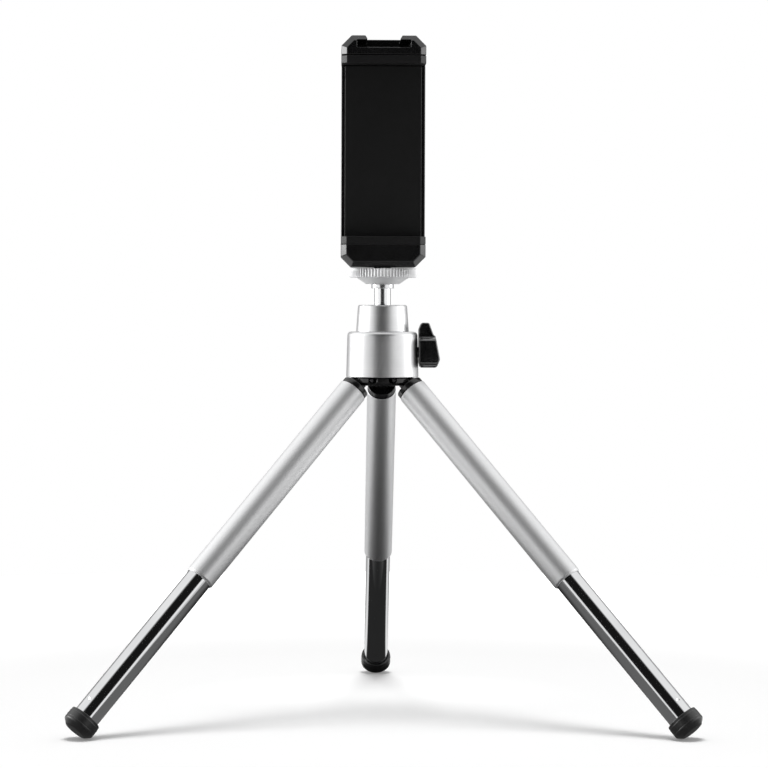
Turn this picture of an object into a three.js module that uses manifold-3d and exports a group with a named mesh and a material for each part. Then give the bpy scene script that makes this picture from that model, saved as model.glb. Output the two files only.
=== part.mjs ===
// A table-top tripod with telescopic legs, a ball head and a sprung phone clamp.
// Millimetres, +Z up. The front of the clamp faces -Y and the lock knob faces +X.
// The origin is the bottom centre of the whole object's bounding box.
import * as THREE from "three";
import { mergeVertices } from "three/addons/utils/BufferGeometryUtils.js";
import Module from "manifold-3d";

const wasm = await Module();
wasm.setup();

// ---------------------------------------------------------------- driving dimensions

const FIT = 0.3; // clearance between pieces that seat on each other
const SLIDE_FIT = 0.1; // clearance of a bush or lip on a sliding tube
const SLICE = 40; // how far a cutting tool reaches past the piece it cuts

// Legs. Distances called "at" are measured from the pivot down the leg.
const LEG_ANGLE = THREE.MathUtils.degToRad(43.66); // from vertical, legs open
const LEG_AZIMUTHS = { back: 90, left: 210, right: 330 };
const PIVOT_FROM_HUB_RIM = 3.1;
const PIVOT_PIN_RADIUS = 0.7;
const EYE_RADIUS = 1.9;
const TONGUE_WIDTH = 4.0;
const KNUCKLE_REACH = 2.98; // pivot to the face of the knuckle's head
const KNUCKLE_HEAD_RADIUS = 4.75;
const KNUCKLE_HEAD_LENGTH = 1.6;
const KNUCKLE_SHANK_LENGTH = 8.5;
const KNUCKLE_EDGE = 0.5;
const OUTER_TUBE_RADIUS = 5.0;
const OUTER_TUBE_WALL = 0.3;
const OUTER_TUBE_LENGTH = 84.7;
const ROLLED_END = 0.9; // length of the outer tube that is rolled inwards
const INNER_TUBE_RADIUS = 4.4;
const INNER_TUBE_WALL = 0.35;
const INNER_TUBE_SHOWN = 58.9; // pulled out of the outer tube
const INNER_TUBE_HELD = 16; // left inside the outer tube
const BUSH_FLANGE = 1.2;
const BUSH_PLUG_LENGTH = 6;
const FOOT_RADIUS = 5.55;
const FOOT_LENGTH = 5.8;
const FOOT_EDGE = 1.3; // radius of the foot's lower edge
const FOOT_SOLE = 1.6;
const FOOT_LIP = 0.3;

// Hub: heights are relative to the leg pivots.
const HUB_INSET = 0.9; // of the hub's rim inside the housing's foot
const HUB_BELOW_PIVOT = 1.77;
const HUB_FLANGE = 2.5;
const HUB_SPIGOT_RADIUS = 7.0;
const HUB_SPIGOT_LENGTH = 3.7;
const HUB_SCREW_RADIUS = 1.5;
const HUB_SCREW_HEAD_RADIUS = 2.8;
const HUB_SCREW_HEAD = 1.8;
const RECESS_WIDTH = 0.8; // cross recess in each screw head

// Ball head.
const HOUSING_FOOT_RADIUS = 12.3;
const HOUSING_TOP_RADIUS = 11.9;
const HOUSING_HEIGHT = 15.4;
const HOUSING_SHOULDER = 1.3; // radius of the rounded shoulder
const HOUSING_WALL = 1.7; // at the foot
const HOUSING_BORE = 7.9;
const HOUSING_WEB = 1.8;
const COLLAR_FOOT_RADIUS = 8.95;
const COLLAR_TOP_RADIUS = 8.3;
const COLLAR_HEIGHT = 8.8;
const COLLAR_RIM = 0.8; // radius of its rounded rim
const COLLAR_SPIGOT_LENGTH = 2.6;
const COLLAR_MOUTH_RADIUS = 7.0;
const COLLAR_THROAT_RADIUS = 5.7;
const BALL_RADIUS = 6.2;
const BALL_BELOW_RIM = 6.3; // ball's centre below the collar's rim
const SEAT_RADIUS = 6.3;
const SEAT_NECK_RADIUS = 3.0;
const SEAT_RIM_BELOW_BALL = 3.0;
const SEAT_CONE_BELOW_BALL = 7.4;
const STEM_RADIUS = 2.8;
const STEM_LENGTH = 5.3; // collar's rim to the stem's shoulder
const STEM_PIN_RADIUS = 1.6;
const STEM_PIN_LENGTH = 7.3;
const NUT_RADIUS = 3.8;
const NUT_HEIGHT = 1.2;

// Locking knob.
const LOCK_ABOVE_HOUSING_FOOT = 8.3;
const LOCK_SCREW_RADIUS = 2.0;
const PLUG_TIP_RADIUS = 0.6;
const PLUG_LENGTH = 3.2;
const KNOB_RADIUS = 5.1;
const KNOB_DEPTH = 6.9;
const KNOB_EDGE = 1.9;
const KNOB_BORE_DEPTH = 4.6;
const WING_REACH = 10.2;
const WING_ROOT_DEPTH = 5.0;
const WING_TIP_DEPTH = 3.4;
const WING_WIDTH = 4.4;
const WING_CORNER = 1.1;
const WING_SLOPE = 3.4; // height over which the wing leans away from the housing

// Knurled disc and camera stud (1/4"-20 thread, shown by its outside).
const DISC_RADIUS = 11.7;
const DISC_BAND = 3.1;
const DISC_STEP = 0.4;
const DISC_CONE_TOP_RADIUS = 9.0;
const DISC_CONE_FOOT_RADIUS = 5.9;
const DISC_CONE = 1.8;
const STUD_RADIUS = 3.15;
const STUD_IN_CLAMP = 5.9;

// Phone clamp: widths are in X, depths in Y from the stem's axis.
const CLAMP_WIDTH = 28.5;
const CLAMP_FRONT = -12;
const CLAMP_BACK = 8;
const JAW_CHAMFER = 3.45;
const JAW_BEVEL = 1.85;
const LOWER_JAW_HEIGHT = 7.4;
const JAW_PAD = 2.6;
const PHONE_GAP = 58.1; // between the jaw pads, clamp closed
const UPPER_JAW_HEIGHT = 6.5;
const COLUMN_FRONT = -0.5;
const COLUMN_FRONT_WALL = 1.7;
const COLUMN_SIDE_WALL = 2.95;
const COLUMN_FLOOR = 4.6;
const COLUMN_CEILING = 4.6;
const COLUMN_EDGE = 0.6;
const COVER_THICKNESS = 1.5;
const COVER_EDGE = 1.1;
const GRIP_PAD_THICKNESS = 0.9;
const GRIP_PAD_INSET = 1.25;
const GRIP_PAD_CORNER = 1.2;
const INSERT_RADIUS = 4.5;
const INSERT_HEIGHT = 6.4;
const INSERT_GROOVE = 1.2;
const INSERT_GROOVE_DEPTH = 0.5;
const CORE_WIDTH = 6.0; // hollows that lighten the lower jaw
const CORE_DEPTH = 4.2;
const CORE_WALL = 1.0;

// Accessory shoe in the upper jaw.
const SHOE_WIDTH = 18.6;
const SHOE_RAIL_GAP = 12.5;
const SHOE_RAIL = 1.5;
const SHOE_HEIGHT = 2.6;
const SHOE_WALL = 1.8;

// Slider and springs inside the column.
const SLIDER_THICKNESS = 1.6;
const SLIDER_SIDE_GAP = 0.8; // shoulders to the column's side walls
const SLIDER_LEDGE = 2.5; // reach of the shoulders past the neck
const SLIDER_SHOULDER = 3.5;
const SLIDER_TONGUE = 17;
const SLIDER_IN_JAW = 4.6;
const JAW_TRAVEL = 27;
const SPRING_COIL_RADIUS = 1.7;
const SPRING_WIRE_RADIUS = 0.3;
const SPRING_TURNS = 8;
const SPRING_SIDE_GAP = 0.7; // coils to the column's side walls
const SPRING_TONGUE_GAP = 0.6; // coils to the slider's tongue
const SPRING_PIN_RADIUS = 0.6;
const SPRING_PIN_ABOVE_FLOOR = 1.3;
const SMALL_SCREW_RADIUS = 0.8;
const SMALL_SCREW_HEAD_RADIUS = 1.6;
const SMALL_SCREW_HEAD = 0.8;
const COVER_SCREW_LENGTH = 4.4;
const COVER_SCREW_FROM_END = 2.4;
const COVER_SCREW_FROM_SIDE = 3.45;
const JAW_SCREW_LENGTH = 5.0;
const JAW_SCREW_FROM_EDGE = 2.4; // of the slider's neck
const JAW_SCREW_BELOW_SLIDER_TOP = 1.8;

// Facets round a full circle, and of the springs' wire.
const FINE = 32;
const ROUND = 20;
const COARSE = 10;
const SPRING_STEPS = 8; // per turn
const SPRING_WIRE_SIDES = 5;

const FINISHES = {
  satinAluminium: { color: 0xd8dadb, roughness: 0.34, metalness: 1 },
  chrome: { color: 0xe6e8ea, roughness: 0.1, metalness: 1 },
  steel: { color: 0xb9bcc0, roughness: 0.35, metalness: 1 },
  brass: { color: 0xc9a24a, roughness: 0.35, metalness: 1 },
  blackPlastic: { color: 0x141415, roughness: 0.45, metalness: 0 },
  glossPlastic: { color: 0x0c0c0d, roughness: 0.2, metalness: 0 },
  blackRubber: { color: 0x191919, roughness: 0.8, metalness: 0 },
  nylon: { color: 0xe9e7df, roughness: 0.5, metalness: 0 },
};

// ---------------------------------------------------------------- solids

// A closed three.js geometry as a manifold-3d solid.
function toSolid(geometry) {
  const bare = geometry.clone();
  bare.deleteAttribute("normal");
  bare.deleteAttribute("uv");
  const merged = mergeVertices(bare, 1e-4);
  const mesh = new wasm.Mesh({
    numProp: 3,
    vertProperties: merged.attributes.position.array,
    triVerts: new Uint32Array(merged.index.array),
  });
  return new wasm.Manifold(mesh);
}

function toGeometry(solid) {
  const mesh = solid.getMesh();
  const geometry = new THREE.BufferGeometry();
  geometry.setAttribute("position", new THREE.BufferAttribute(mesh.vertProperties, 3));
  geometry.setIndex(new THREE.BufferAttribute(mesh.triVerts, 1));
  geometry.computeVertexNormals();
  return geometry;
}

// Geometries joined into one, and one geometry with others cut out of it.
function join(...geometries) {
  return toGeometry(geometries.map(toSolid).reduce((sum, next) => sum.add(next)));
}

function cut(geometry, ...tools) {
  return toGeometry(tools.map(toSolid).reduce((rest, tool) => rest.subtract(tool), toSolid(geometry)));
}

function overlapOf(geometry, tool) {
  return toGeometry(toSolid(geometry).intersect(toSolid(tool)));
}

// A solid of revolution about Z. The profile is a list of [radius, z] that either starts and
// ends on the axis or closes on itself.
function turned(profile, facets) {
  const area = profile.reduce((sum, [r, z], i) => {
    const [nextR, nextZ] = profile[(i + 1) % profile.length];
    return sum + r * nextZ - nextR * z;
  }, 0);
  const points = profile.map(([r, z]) => new THREE.Vector2(r, z));
  if (area < 0) points.reverse();
  if (!profile.every(([r]) => r > 0)) {
    const start = points.findIndex((p, i) => p.x === 0 && points[(i + 1) % points.length].x > 0);
    points.push(...points.splice(0, start));
  } else {
    points.push(points[0].clone());
  }
  return new THREE.LatheGeometry(points, facets).rotateX(Math.PI / 2);
}

// Points of an arc from one angle to another, in radians, as [radius, z].
function arc(centreR, centreZ, radius, from, to, steps) {
  return Array.from({ length: steps + 1 }, (_, i) => {
    const angle = from + ((to - from) * i) / steps;
    return [centreR + radius * Math.cos(angle), centreZ + radius * Math.sin(angle)];
  });
}

// A box between two values on each axis.
function block([x0, x1], [y0, y1], [z0, z1]) {
  const box = new THREE.BoxGeometry(x1 - x0, y1 - y0, z1 - z0);
  return box.translate((x0 + x1) / 2, (y0 + y1) / 2, (z0 + z1) / 2);
}

// Cylinders along each axis, between two values on that axis.
function rodZ(radius, z0, z1, facets = COARSE) {
  return new THREE.CylinderGeometry(radius, radius, z1 - z0, facets)
    .rotateX(Math.PI / 2)
    .translate(0, 0, (z0 + z1) / 2);
}

function rodY(radius, y0, y1, facets = COARSE) {
  return new THREE.CylinderGeometry(radius, radius, y1 - y0, facets).translate(0, (y0 + y1) / 2, 0);
}

function rodX(radius, x0, x1, facets = COARSE) {
  return new THREE.CylinderGeometry(radius, radius, x1 - x0, facets)
    .rotateZ(Math.PI / 2)
    .translate((x0 + x1) / 2, 0, 0);
}

// An outline in X and Z, extruded in Y.
function slabY(outline, y0, y1) {
  const shape = new THREE.Shape(outline.map(([x, z]) => new THREE.Vector2(x, z)));
  return new THREE.ExtrudeGeometry(shape, { depth: y1 - y0, bevelEnabled: false })
    .rotateX(Math.PI / 2)
    .translate(0, y1, 0);
}

// An outline in X and Y, extruded in Z.
function slabZ(outline, z0, z1) {
  const shape = new THREE.Shape(outline.map(([x, y]) => new THREE.Vector2(x, y)));
  return new THREE.ExtrudeGeometry(shape, { depth: z1 - z0, bevelEnabled: false }).translate(0, 0, z0);
}

function piece(name, geometry, finish) {
  const mesh = new THREE.Mesh(geometry, new THREE.MeshStandardMaterial(FINISHES[finish]));
  mesh.name = name;
  return mesh;
}

// A screw along +Z with its tip up, its head's bearing face at z = 0 and a cross recess below.
function screw(name, radius, headRadius, headHeight, length) {
  const edge = headHeight / 4;
  const body = turned(
    [
      [0, -headHeight],
      [headRadius - edge, -headHeight],
      [headRadius, -headHeight + edge],
      [headRadius, 0],
      [radius, 0],
      [radius, length - radius / 2],
      [radius / 2, length],
      [0, length],
    ],
    COARSE,
  );
  const half = RECESS_WIDTH / 4;
  const arm = headRadius * 0.6;
  const depth = -headHeight / 2;
  const recess = join(
    block([-arm, arm], [-half, half], [-SLICE, depth]),
    block([-half, half], [-arm, arm], [-SLICE, depth]),
  );
  return piece(name, cut(body, recess), "steel");
}

// ---------------------------------------------------------------- legs

const hubRadius = HOUSING_FOOT_RADIUS - HUB_INSET;
const pivotRadius = hubRadius - PIVOT_FROM_HUB_RIM;
const headFaceAt = KNUCKLE_REACH;
const headBackAt = headFaceAt + KNUCKLE_HEAD_LENGTH;
const outerTopAt = headBackAt + FIT;
const outerEndAt = outerTopAt + OUTER_TUBE_LENGTH;
const innerTopAt = outerEndAt - INNER_TUBE_HELD;
const footTopAt = outerEndAt + INNER_TUBE_SHOWN;
const footEndAt = footTopAt + FOOT_LENGTH;
const outerBore = OUTER_TUBE_RADIUS - OUTER_TUBE_WALL;
const innerBore = INNER_TUBE_RADIUS - INNER_TUBE_WALL;

// Profiles on a leg are [radius, distance down the leg].
function legTurned(profile, facets) {
  return turned(profile.map(([r, at]) => [r, -at]), facets);
}

const footProfile = [
  [0, footEndAt - FOOT_SOLE],
  [INNER_TUBE_RADIUS + FIT, footEndAt - FOOT_SOLE],
  [INNER_TUBE_RADIUS + FIT, footTopAt],
  [FOOT_RADIUS - FOOT_LIP, footTopAt],
  [FOOT_RADIUS, footTopAt + FOOT_LIP],
  ...arc(FOOT_RADIUS - FOOT_EDGE, footEndAt - FOOT_EDGE, FOOT_EDGE, 0, Math.PI / 2, 4),
  [0, footEndAt],
];

// The feet stand on z = 0, and everything above hangs on this height.
const pivotZ = Math.max(
  ...footProfile.map(([r, at]) => r * Math.sin(LEG_ANGLE) + at * Math.cos(LEG_ANGLE)),
);

function knuckle(side) {
  const shankRadius = outerBore - FIT;
  const shankEndAt = headBackAt + KNUCKLE_SHANK_LENGTH;
  const plug = legTurned(
    [
      [0, headFaceAt],
      [KNUCKLE_HEAD_RADIUS - KNUCKLE_EDGE, headFaceAt],
      [KNUCKLE_HEAD_RADIUS, headFaceAt + KNUCKLE_EDGE],
      [KNUCKLE_HEAD_RADIUS, headBackAt],
      [shankRadius, headBackAt],
      [shankRadius, shankEndAt - KNUCKLE_EDGE],
      [shankRadius - KNUCKLE_EDGE, shankEndAt],
      [0, shankEndAt],
    ],
    ROUND,
  );
  const half = TONGUE_WIDTH / 2;
  const tongue = block([-EYE_RADIUS, EYE_RADIUS], [-half, half], [-headBackAt, 0]);
  const eye = rodY(EYE_RADIUS, -half, half);
  const hole = rodY(PIVOT_PIN_RADIUS + FIT, -SLICE, SLICE);
  return piece(`leg_knuckle_${side}`, cut(join(plug, tongue, eye), hole), "blackPlastic");
}

// The tube's lower end is rolled in to a lip that stops the bush.
function outerTube(side) {
  const lip = INNER_TUBE_RADIUS + SLIDE_FIT;
  const rolledAt = outerEndAt - ROLLED_END;
  const geometry = legTurned(
    [
      [outerBore, outerTopAt],
      [OUTER_TUBE_RADIUS, outerTopAt],
      ...arc(lip, rolledAt, 1, 0, Math.PI / 2, 3).map(([r, at]) => [
        lip + (r - lip) * (OUTER_TUBE_RADIUS - lip),
        rolledAt + (at - rolledAt) * ROLLED_END,
      ]),
      [lip, outerEndAt - OUTER_TUBE_WALL],
      [outerBore, rolledAt],
    ],
    ROUND,
  );
  return piece(`outer_tube_${side}`, geometry, "satinAluminium");
}

function innerTube(side) {
  const endAt = footEndAt - FOOT_SOLE - FIT;
  const geometry = legTurned(
    [
      [innerBore, innerTopAt],
      [INNER_TUBE_RADIUS, innerTopAt],
      [INNER_TUBE_RADIUS, endAt],
      [innerBore, endAt],
    ],
    ROUND,
  );
  return piece(`inner_tube_${side}`, geometry, "chrome");
}

// A nylon bush plugged into the inner tube: its flange runs in the outer tube and meets the lip.
function guideBush(side) {
  const flangeRadius = outerBore - SLIDE_FIT;
  const plugRadius = innerBore - FIT;
  const flangeFootAt = innerTopAt - FIT;
  const geometry = legTurned(
    [
      [0, flangeFootAt - BUSH_FLANGE],
      [flangeRadius, flangeFootAt - BUSH_FLANGE],
      [flangeRadius, flangeFootAt],
      [plugRadius, flangeFootAt],
      [plugRadius, flangeFootAt + BUSH_PLUG_LENGTH],
      [0, flangeFootAt + BUSH_PLUG_LENGTH],
    ],
    COARSE,
  );
  return piece(`guide_bush_${side}`, geometry, "nylon");
}

function footCap(side) {
  return piece(`foot_cap_${side}`, legTurned(footProfile, ROUND), "blackRubber");
}

// The pin lies across the leg, in the hub's groove, with its ends under the housing's foot.
function pivotPin(side) {
  const reach = Math.sqrt((hubRadius - FIT) ** 2 - pivotRadius ** 2);
  return piece(`pivot_pin_${side}`, rodY(PIVOT_PIN_RADIUS, -reach, reach), "steel");
}

// ---------------------------------------------------------------- hub

const hubFootZ = pivotZ - HUB_BELOW_PIVOT;
const hubFlangeTopZ = hubFootZ + HUB_FLANGE;
const housingFootZ = hubFlangeTopZ + FIT;

// Tools that cut one leg's slot and pin groove, for a leg that points along +X.
function hubSlotTools() {
  const half = TONGUE_WIDTH / 2 + FIT;
  const inner = pivotRadius - EYE_RADIUS - FIT;
  const slot = block([inner, SLICE], [-half, half], [-SLICE, pivotZ + EYE_RADIUS + FIT]);
  const grooveRadius = PIVOT_PIN_RADIUS + FIT;
  const groove = join(
    rodY(grooveRadius, -SLICE, SLICE).translate(pivotRadius, 0, pivotZ),
    block(
      [pivotRadius - grooveRadius, pivotRadius + grooveRadius],
      [-SLICE, SLICE],
      [pivotZ, pivotZ + SLICE],
    ),
  );
  return [slot, groove];
}

// The rim's chamfer is where the knuckles' heads stop, so it lies square to an open leg.
function hub() {
  const stop = headFaceAt - FIT;
  const onStopR = pivotRadius + stop * Math.sin(LEG_ANGLE);
  const onStopZ = pivotZ - stop * Math.cos(LEG_ANGLE);
  const chamferFootR = onStopR + (hubFootZ - onStopZ) / Math.tan(LEG_ANGLE);
  const chamferTopZ = onStopZ + (hubRadius - onStopR) * Math.tan(LEG_ANGLE);
  const spigotTopZ = hubFlangeTopZ + HUB_SPIGOT_LENGTH;
  const body = turned(
    [
      [0, hubFootZ],
      [chamferFootR, hubFootZ],
      [hubRadius, chamferTopZ],
      [hubRadius, hubFlangeTopZ],
      [HUB_SPIGOT_RADIUS, hubFlangeTopZ],
      [HUB_SPIGOT_RADIUS, spigotTopZ],
      [0, spigotTopZ],
    ],
    FINE,
  );
  const screwHole = rodZ(HUB_SCREW_RADIUS + FIT, hubFootZ - SLICE, spigotTopZ + SLICE);
  const headPocket = rodZ(
    HUB_SCREW_HEAD_RADIUS + FIT,
    hubFootZ - SLICE,
    hubFootZ + HUB_SCREW_HEAD + 2 * FIT,
  );
  const slots = Object.values(LEG_AZIMUTHS).flatMap((azimuth) =>
    hubSlotTools().map((tool) => tool.rotateZ(THREE.MathUtils.degToRad(azimuth))),
  );
  return piece("leg_hub", cut(body, screwHole, headPocket, ...slots), "blackPlastic");
}

const webFootZ = hubFlangeTopZ + HUB_SPIGOT_LENGTH + FIT;
const webTopZ = webFootZ + HOUSING_WEB;

function hubScrew() {
  const bearingZ = hubFootZ + FIT + HUB_SCREW_HEAD;
  const length = webTopZ - FIT - bearingZ;
  const mesh = screw("hub_screw", HUB_SCREW_RADIUS, HUB_SCREW_HEAD_RADIUS, HUB_SCREW_HEAD, length);
  mesh.position.z = bearingZ;
  return mesh;
}

// ---------------------------------------------------------------- ball head

const housingTopZ = housingFootZ + HOUSING_HEIGHT;
const lockZ = housingFootZ + LOCK_ABOVE_HOUSING_FOOT;
const collarFootZ = housingTopZ + FIT;
const rimZ = collarFootZ + COLLAR_HEIGHT;
const ballZ = rimZ - BALL_BELOW_RIM;
const cavityRadius = BALL_RADIUS + FIT;

function headHousing() {
  const eyeRoomZ = pivotZ + EYE_RADIUS + 2 * FIT;
  const footBore = HOUSING_FOOT_RADIUS - HOUSING_WALL;
  const spigotBore = HUB_SPIGOT_RADIUS + FIT;
  const screwBore = HUB_SCREW_RADIUS + FIT;
  const shoulderR = HOUSING_TOP_RADIUS - HOUSING_SHOULDER;
  const shoulderZ = housingTopZ - HOUSING_SHOULDER;
  const body = turned(
    [
      [footBore, housingFootZ],
      [HOUSING_FOOT_RADIUS, housingFootZ],
      ...arc(shoulderR, shoulderZ, HOUSING_SHOULDER, 0, Math.PI / 2, 4),
      [HOUSING_BORE, housingTopZ],
      [HOUSING_BORE, webTopZ],
      [screwBore, webTopZ],
      [screwBore, webFootZ],
      [spigotBore, webFootZ],
      [spigotBore, eyeRoomZ],
      [footBore, eyeRoomZ],
    ],
    FINE,
  );
  const lockHole = rodX(LOCK_SCREW_RADIUS + FIT, 0, SLICE).translate(0, 0, lockZ);
  return piece("head_housing", cut(body, lockHole), "satinAluminium");
}

// The collar is threaded into the housing and holds the ball down with its throat.
function ballCollar() {
  const throatAngle = Math.acos(COLLAR_THROAT_RADIUS / cavityRadius);
  const bore = SEAT_RADIUS + FIT;
  const spigotRadius = HOUSING_BORE - FIT;
  const spigotFootZ = collarFootZ - COLLAR_SPIGOT_LENGTH;
  const rimR = COLLAR_TOP_RADIUS - COLLAR_RIM;
  const geometry = turned(
    [
      [bore, spigotFootZ],
      [spigotRadius, spigotFootZ],
      [spigotRadius, collarFootZ],
      [COLLAR_FOOT_RADIUS, collarFootZ],
      ...arc(rimR, rimZ - COLLAR_RIM, COLLAR_RIM, 0, Math.PI / 2, 3),
      [COLLAR_MOUTH_RADIUS, rimZ],
      ...arc(0, ballZ, cavityRadius, throatAngle, 0, 4),
      [bore, ballZ],
    ],
    FINE,
  );
  return piece("ball_collar", geometry, "satinAluminium");
}

// A nylon cup under the ball. The lock's plug presses on its cone and lifts it.
function ballSeat() {
  const rimAngle = Math.asin(SEAT_RIM_BELOW_BALL / cavityRadius);
  const coneZ = ballZ - SEAT_CONE_BELOW_BALL;
  const neckZ = coneZ - (SEAT_RADIUS - SEAT_NECK_RADIUS);
  const footZ = webTopZ + FIT;
  const geometry = turned(
    [
      [0, footZ],
      [SEAT_NECK_RADIUS, footZ],
      [SEAT_NECK_RADIUS, neckZ],
      [SEAT_RADIUS, coneZ],
      [SEAT_RADIUS, ballZ - SEAT_RIM_BELOW_BALL],
      ...arc(0, ballZ, cavityRadius, -rimAngle, -Math.PI / 2, 6).slice(0, -1),
      [0, ballZ - cavityRadius],
    ],
    ROUND,
  );
  return piece("ball_seat", geometry, "nylon");
}

const stemTopZ = rimZ + STEM_LENGTH;
const stemPinTopZ = stemTopZ + STEM_PIN_LENGTH;

function ballStem() {
  const neckAngle = Math.acos(STEM_RADIUS / BALL_RADIUS);
  const geometry = turned(
    [
      [0, ballZ - BALL_RADIUS],
      ...arc(0, ballZ, BALL_RADIUS, -Math.PI / 2, neckAngle, 14).slice(1),
      [STEM_RADIUS, stemTopZ],
      [STEM_PIN_RADIUS, stemTopZ],
      [STEM_PIN_RADIUS, stemPinTopZ],
      [0, stemPinTopZ],
    ],
    ROUND,
  );
  return piece("ball_stem", geometry, "chrome");
}

const nutFootZ = stemTopZ + FIT;
const nutTopZ = nutFootZ + NUT_HEIGHT;

function stemNut() {
  const bore = STEM_PIN_RADIUS + FIT;
  const geometry = turned(
    [
      [bore, nutFootZ],
      [NUT_RADIUS, nutFootZ],
      [NUT_RADIUS, nutTopZ],
      [bore, nutTopZ],
    ],
    ROUND,
  );
  return piece("stem_nut", geometry, "chrome");
}

// ---------------------------------------------------------------- lock

// At rest the plug's 45 degree tip lies on the seat's 45 degree cone.
const coneAtLockR = SEAT_RADIUS - (ballZ - SEAT_CONE_BELOW_BALL - lockZ);
const plugTipX = coneAtLockR + PLUG_TIP_RADIUS + FIT * Math.SQRT2;
const plugEndX = plugTipX + PLUG_LENGTH;
const knobFaceX = HOUSING_FOOT_RADIUS + FIT;
const knobEndX = knobFaceX + KNOB_DEPTH;

// Turns a piece that was made along +Z so that it lies along +X at the lock's height.
function placeOnLockAxis(mesh, x = 0) {
  mesh.rotation.y = Math.PI / 2;
  mesh.position.set(x, 0, lockZ);
  return mesh;
}

function pressurePlug() {
  const taperEndX = plugTipX + LOCK_SCREW_RADIUS - PLUG_TIP_RADIUS;
  const geometry = turned(
    [
      [0, plugTipX],
      [PLUG_TIP_RADIUS, plugTipX],
      [LOCK_SCREW_RADIUS, taperEndX],
      [LOCK_SCREW_RADIUS, plugEndX],
      [0, plugEndX],
    ],
    COARSE,
  );
  return placeOnLockAxis(piece("pressure_plug", geometry, "brass"));
}

function lockScrew() {
  const endX = knobFaceX + KNOB_BORE_DEPTH - FIT;
  return placeOnLockAxis(
    piece("lock_screw", rodZ(LOCK_SCREW_RADIUS, plugEndX + FIT, endX), "steel"),
  );
}

// A round knob with a single wing that points up at rest.
function lockKnob() {
  const round = turned(
    [
      [0, knobFaceX],
      [KNOB_RADIUS, knobFaceX],
      ...arc(KNOB_RADIUS - KNOB_EDGE, knobEndX - KNOB_EDGE, KNOB_EDGE, 0, Math.PI / 2, 3),
      [0, knobEndX],
    ],
    ROUND,
  )
    .rotateY(Math.PI / 2)
    .translate(0, 0, lockZ);
  const tipZ = lockZ + WING_REACH;
  const tipX = knobFaceX + WING_TIP_DEPTH;
  const wing = slabY(
    [
      [knobFaceX, lockZ],
      [knobFaceX + WING_ROOT_DEPTH, lockZ],
      [tipX, tipZ - WING_CORNER],
      [tipX - WING_CORNER, tipZ],
      [knobFaceX + WING_CORNER, tipZ - WING_CORNER / 2],
      [knobFaceX, tipZ - WING_SLOPE],
    ],
    -WING_WIDTH / 2,
    WING_WIDTH / 2,
  );
  const bore = rodX(LOCK_SCREW_RADIUS + FIT, 0, knobFaceX + KNOB_BORE_DEPTH).translate(0, 0, lockZ);
  return piece("lock_knob", cut(join(round, wing), bore), "glossPlastic");
}

// ---------------------------------------------------------------- disc and stud

const discFootZ = nutTopZ + FIT;
const discConeTopZ = discFootZ + DISC_CONE;
const discBandFootZ = discConeTopZ + DISC_STEP;
const discTopZ = discBandFootZ + DISC_BAND;
const clampFootZ = discTopZ + FIT;

function knurledDisc() {
  const bore = STUD_RADIUS + FIT;
  const geometry = turned(
    [
      [bore, discFootZ],
      [DISC_CONE_FOOT_RADIUS, discFootZ],
      [DISC_CONE_TOP_RADIUS, discConeTopZ],
      [DISC_CONE_TOP_RADIUS, discBandFootZ],
      [DISC_RADIUS, discBandFootZ],
      [DISC_RADIUS, discTopZ],
      [bore, discTopZ],
    ],
    FINE,
  );
  return piece("knurled_disc", geometry, "satinAluminium");
}

function cameraStud() {
  const footZ = nutTopZ + FIT;
  const topZ = clampFootZ + STUD_IN_CLAMP;
  const bore = STEM_PIN_RADIUS + FIT;
  const boreTopZ = stemPinTopZ + FIT;
  const tip = STUD_RADIUS / 4;
  const geometry = turned(
    [
      [0, boreTopZ],
      [bore, boreTopZ],
      [bore, footZ],
      [STUD_RADIUS, footZ],
      [STUD_RADIUS, topZ - tip],
      [STUD_RADIUS - tip, topZ],
      [0, topZ],
    ],
    COARSE,
  );
  return piece("camera_stud", geometry, "steel");
}

// ---------------------------------------------------------------- clamp

const halfWidth = CLAMP_WIDTH / 2;
const lowerJawTopZ = clampFootZ + LOWER_JAW_HEIGHT;
const lowerPadTopZ = lowerJawTopZ + FIT + JAW_PAD;
const upperPadFootZ = lowerPadTopZ + PHONE_GAP;
const upperJawFootZ = upperPadFootZ + JAW_PAD + FIT;
const upperJawTopZ = upperJawFootZ + UPPER_JAW_HEIGHT;
const columnTopZ = upperPadFootZ - FIT;
const columnBack = CLAMP_BACK - COVER_THICKNESS - FIT;
const cavityFront = COLUMN_FRONT + COLUMN_FRONT_WALL;
const cavityHalf = halfWidth - COLUMN_SIDE_WALL;
const cavityFloorZ = lowerJawTopZ + COLUMN_FLOOR;
const cavityTopZ = columnTopZ - COLUMN_CEILING;
const gripPadFront = COLUMN_FRONT - FIT - GRIP_PAD_THICKNESS;
const jawPadBack = gripPadFront - FIT;
const sliderMid = (cavityFront + columnBack) / 2;
const coverScrewX = halfWidth - COVER_SCREW_FROM_SIDE;
const coilRadius = SPRING_COIL_RADIUS + SPRING_WIRE_RADIUS;
const springX = cavityHalf - SPRING_SIDE_GAP - coilRadius;
const tongueHalf = springX - coilRadius - SPRING_TONGUE_GAP;
const shoulderHalf = cavityHalf - SLIDER_SIDE_GAP;
const neckHalf = shoulderHalf - SLIDER_LEDGE;
const jawScrewX = neckHalf - JAW_SCREW_FROM_EDGE;

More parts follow.
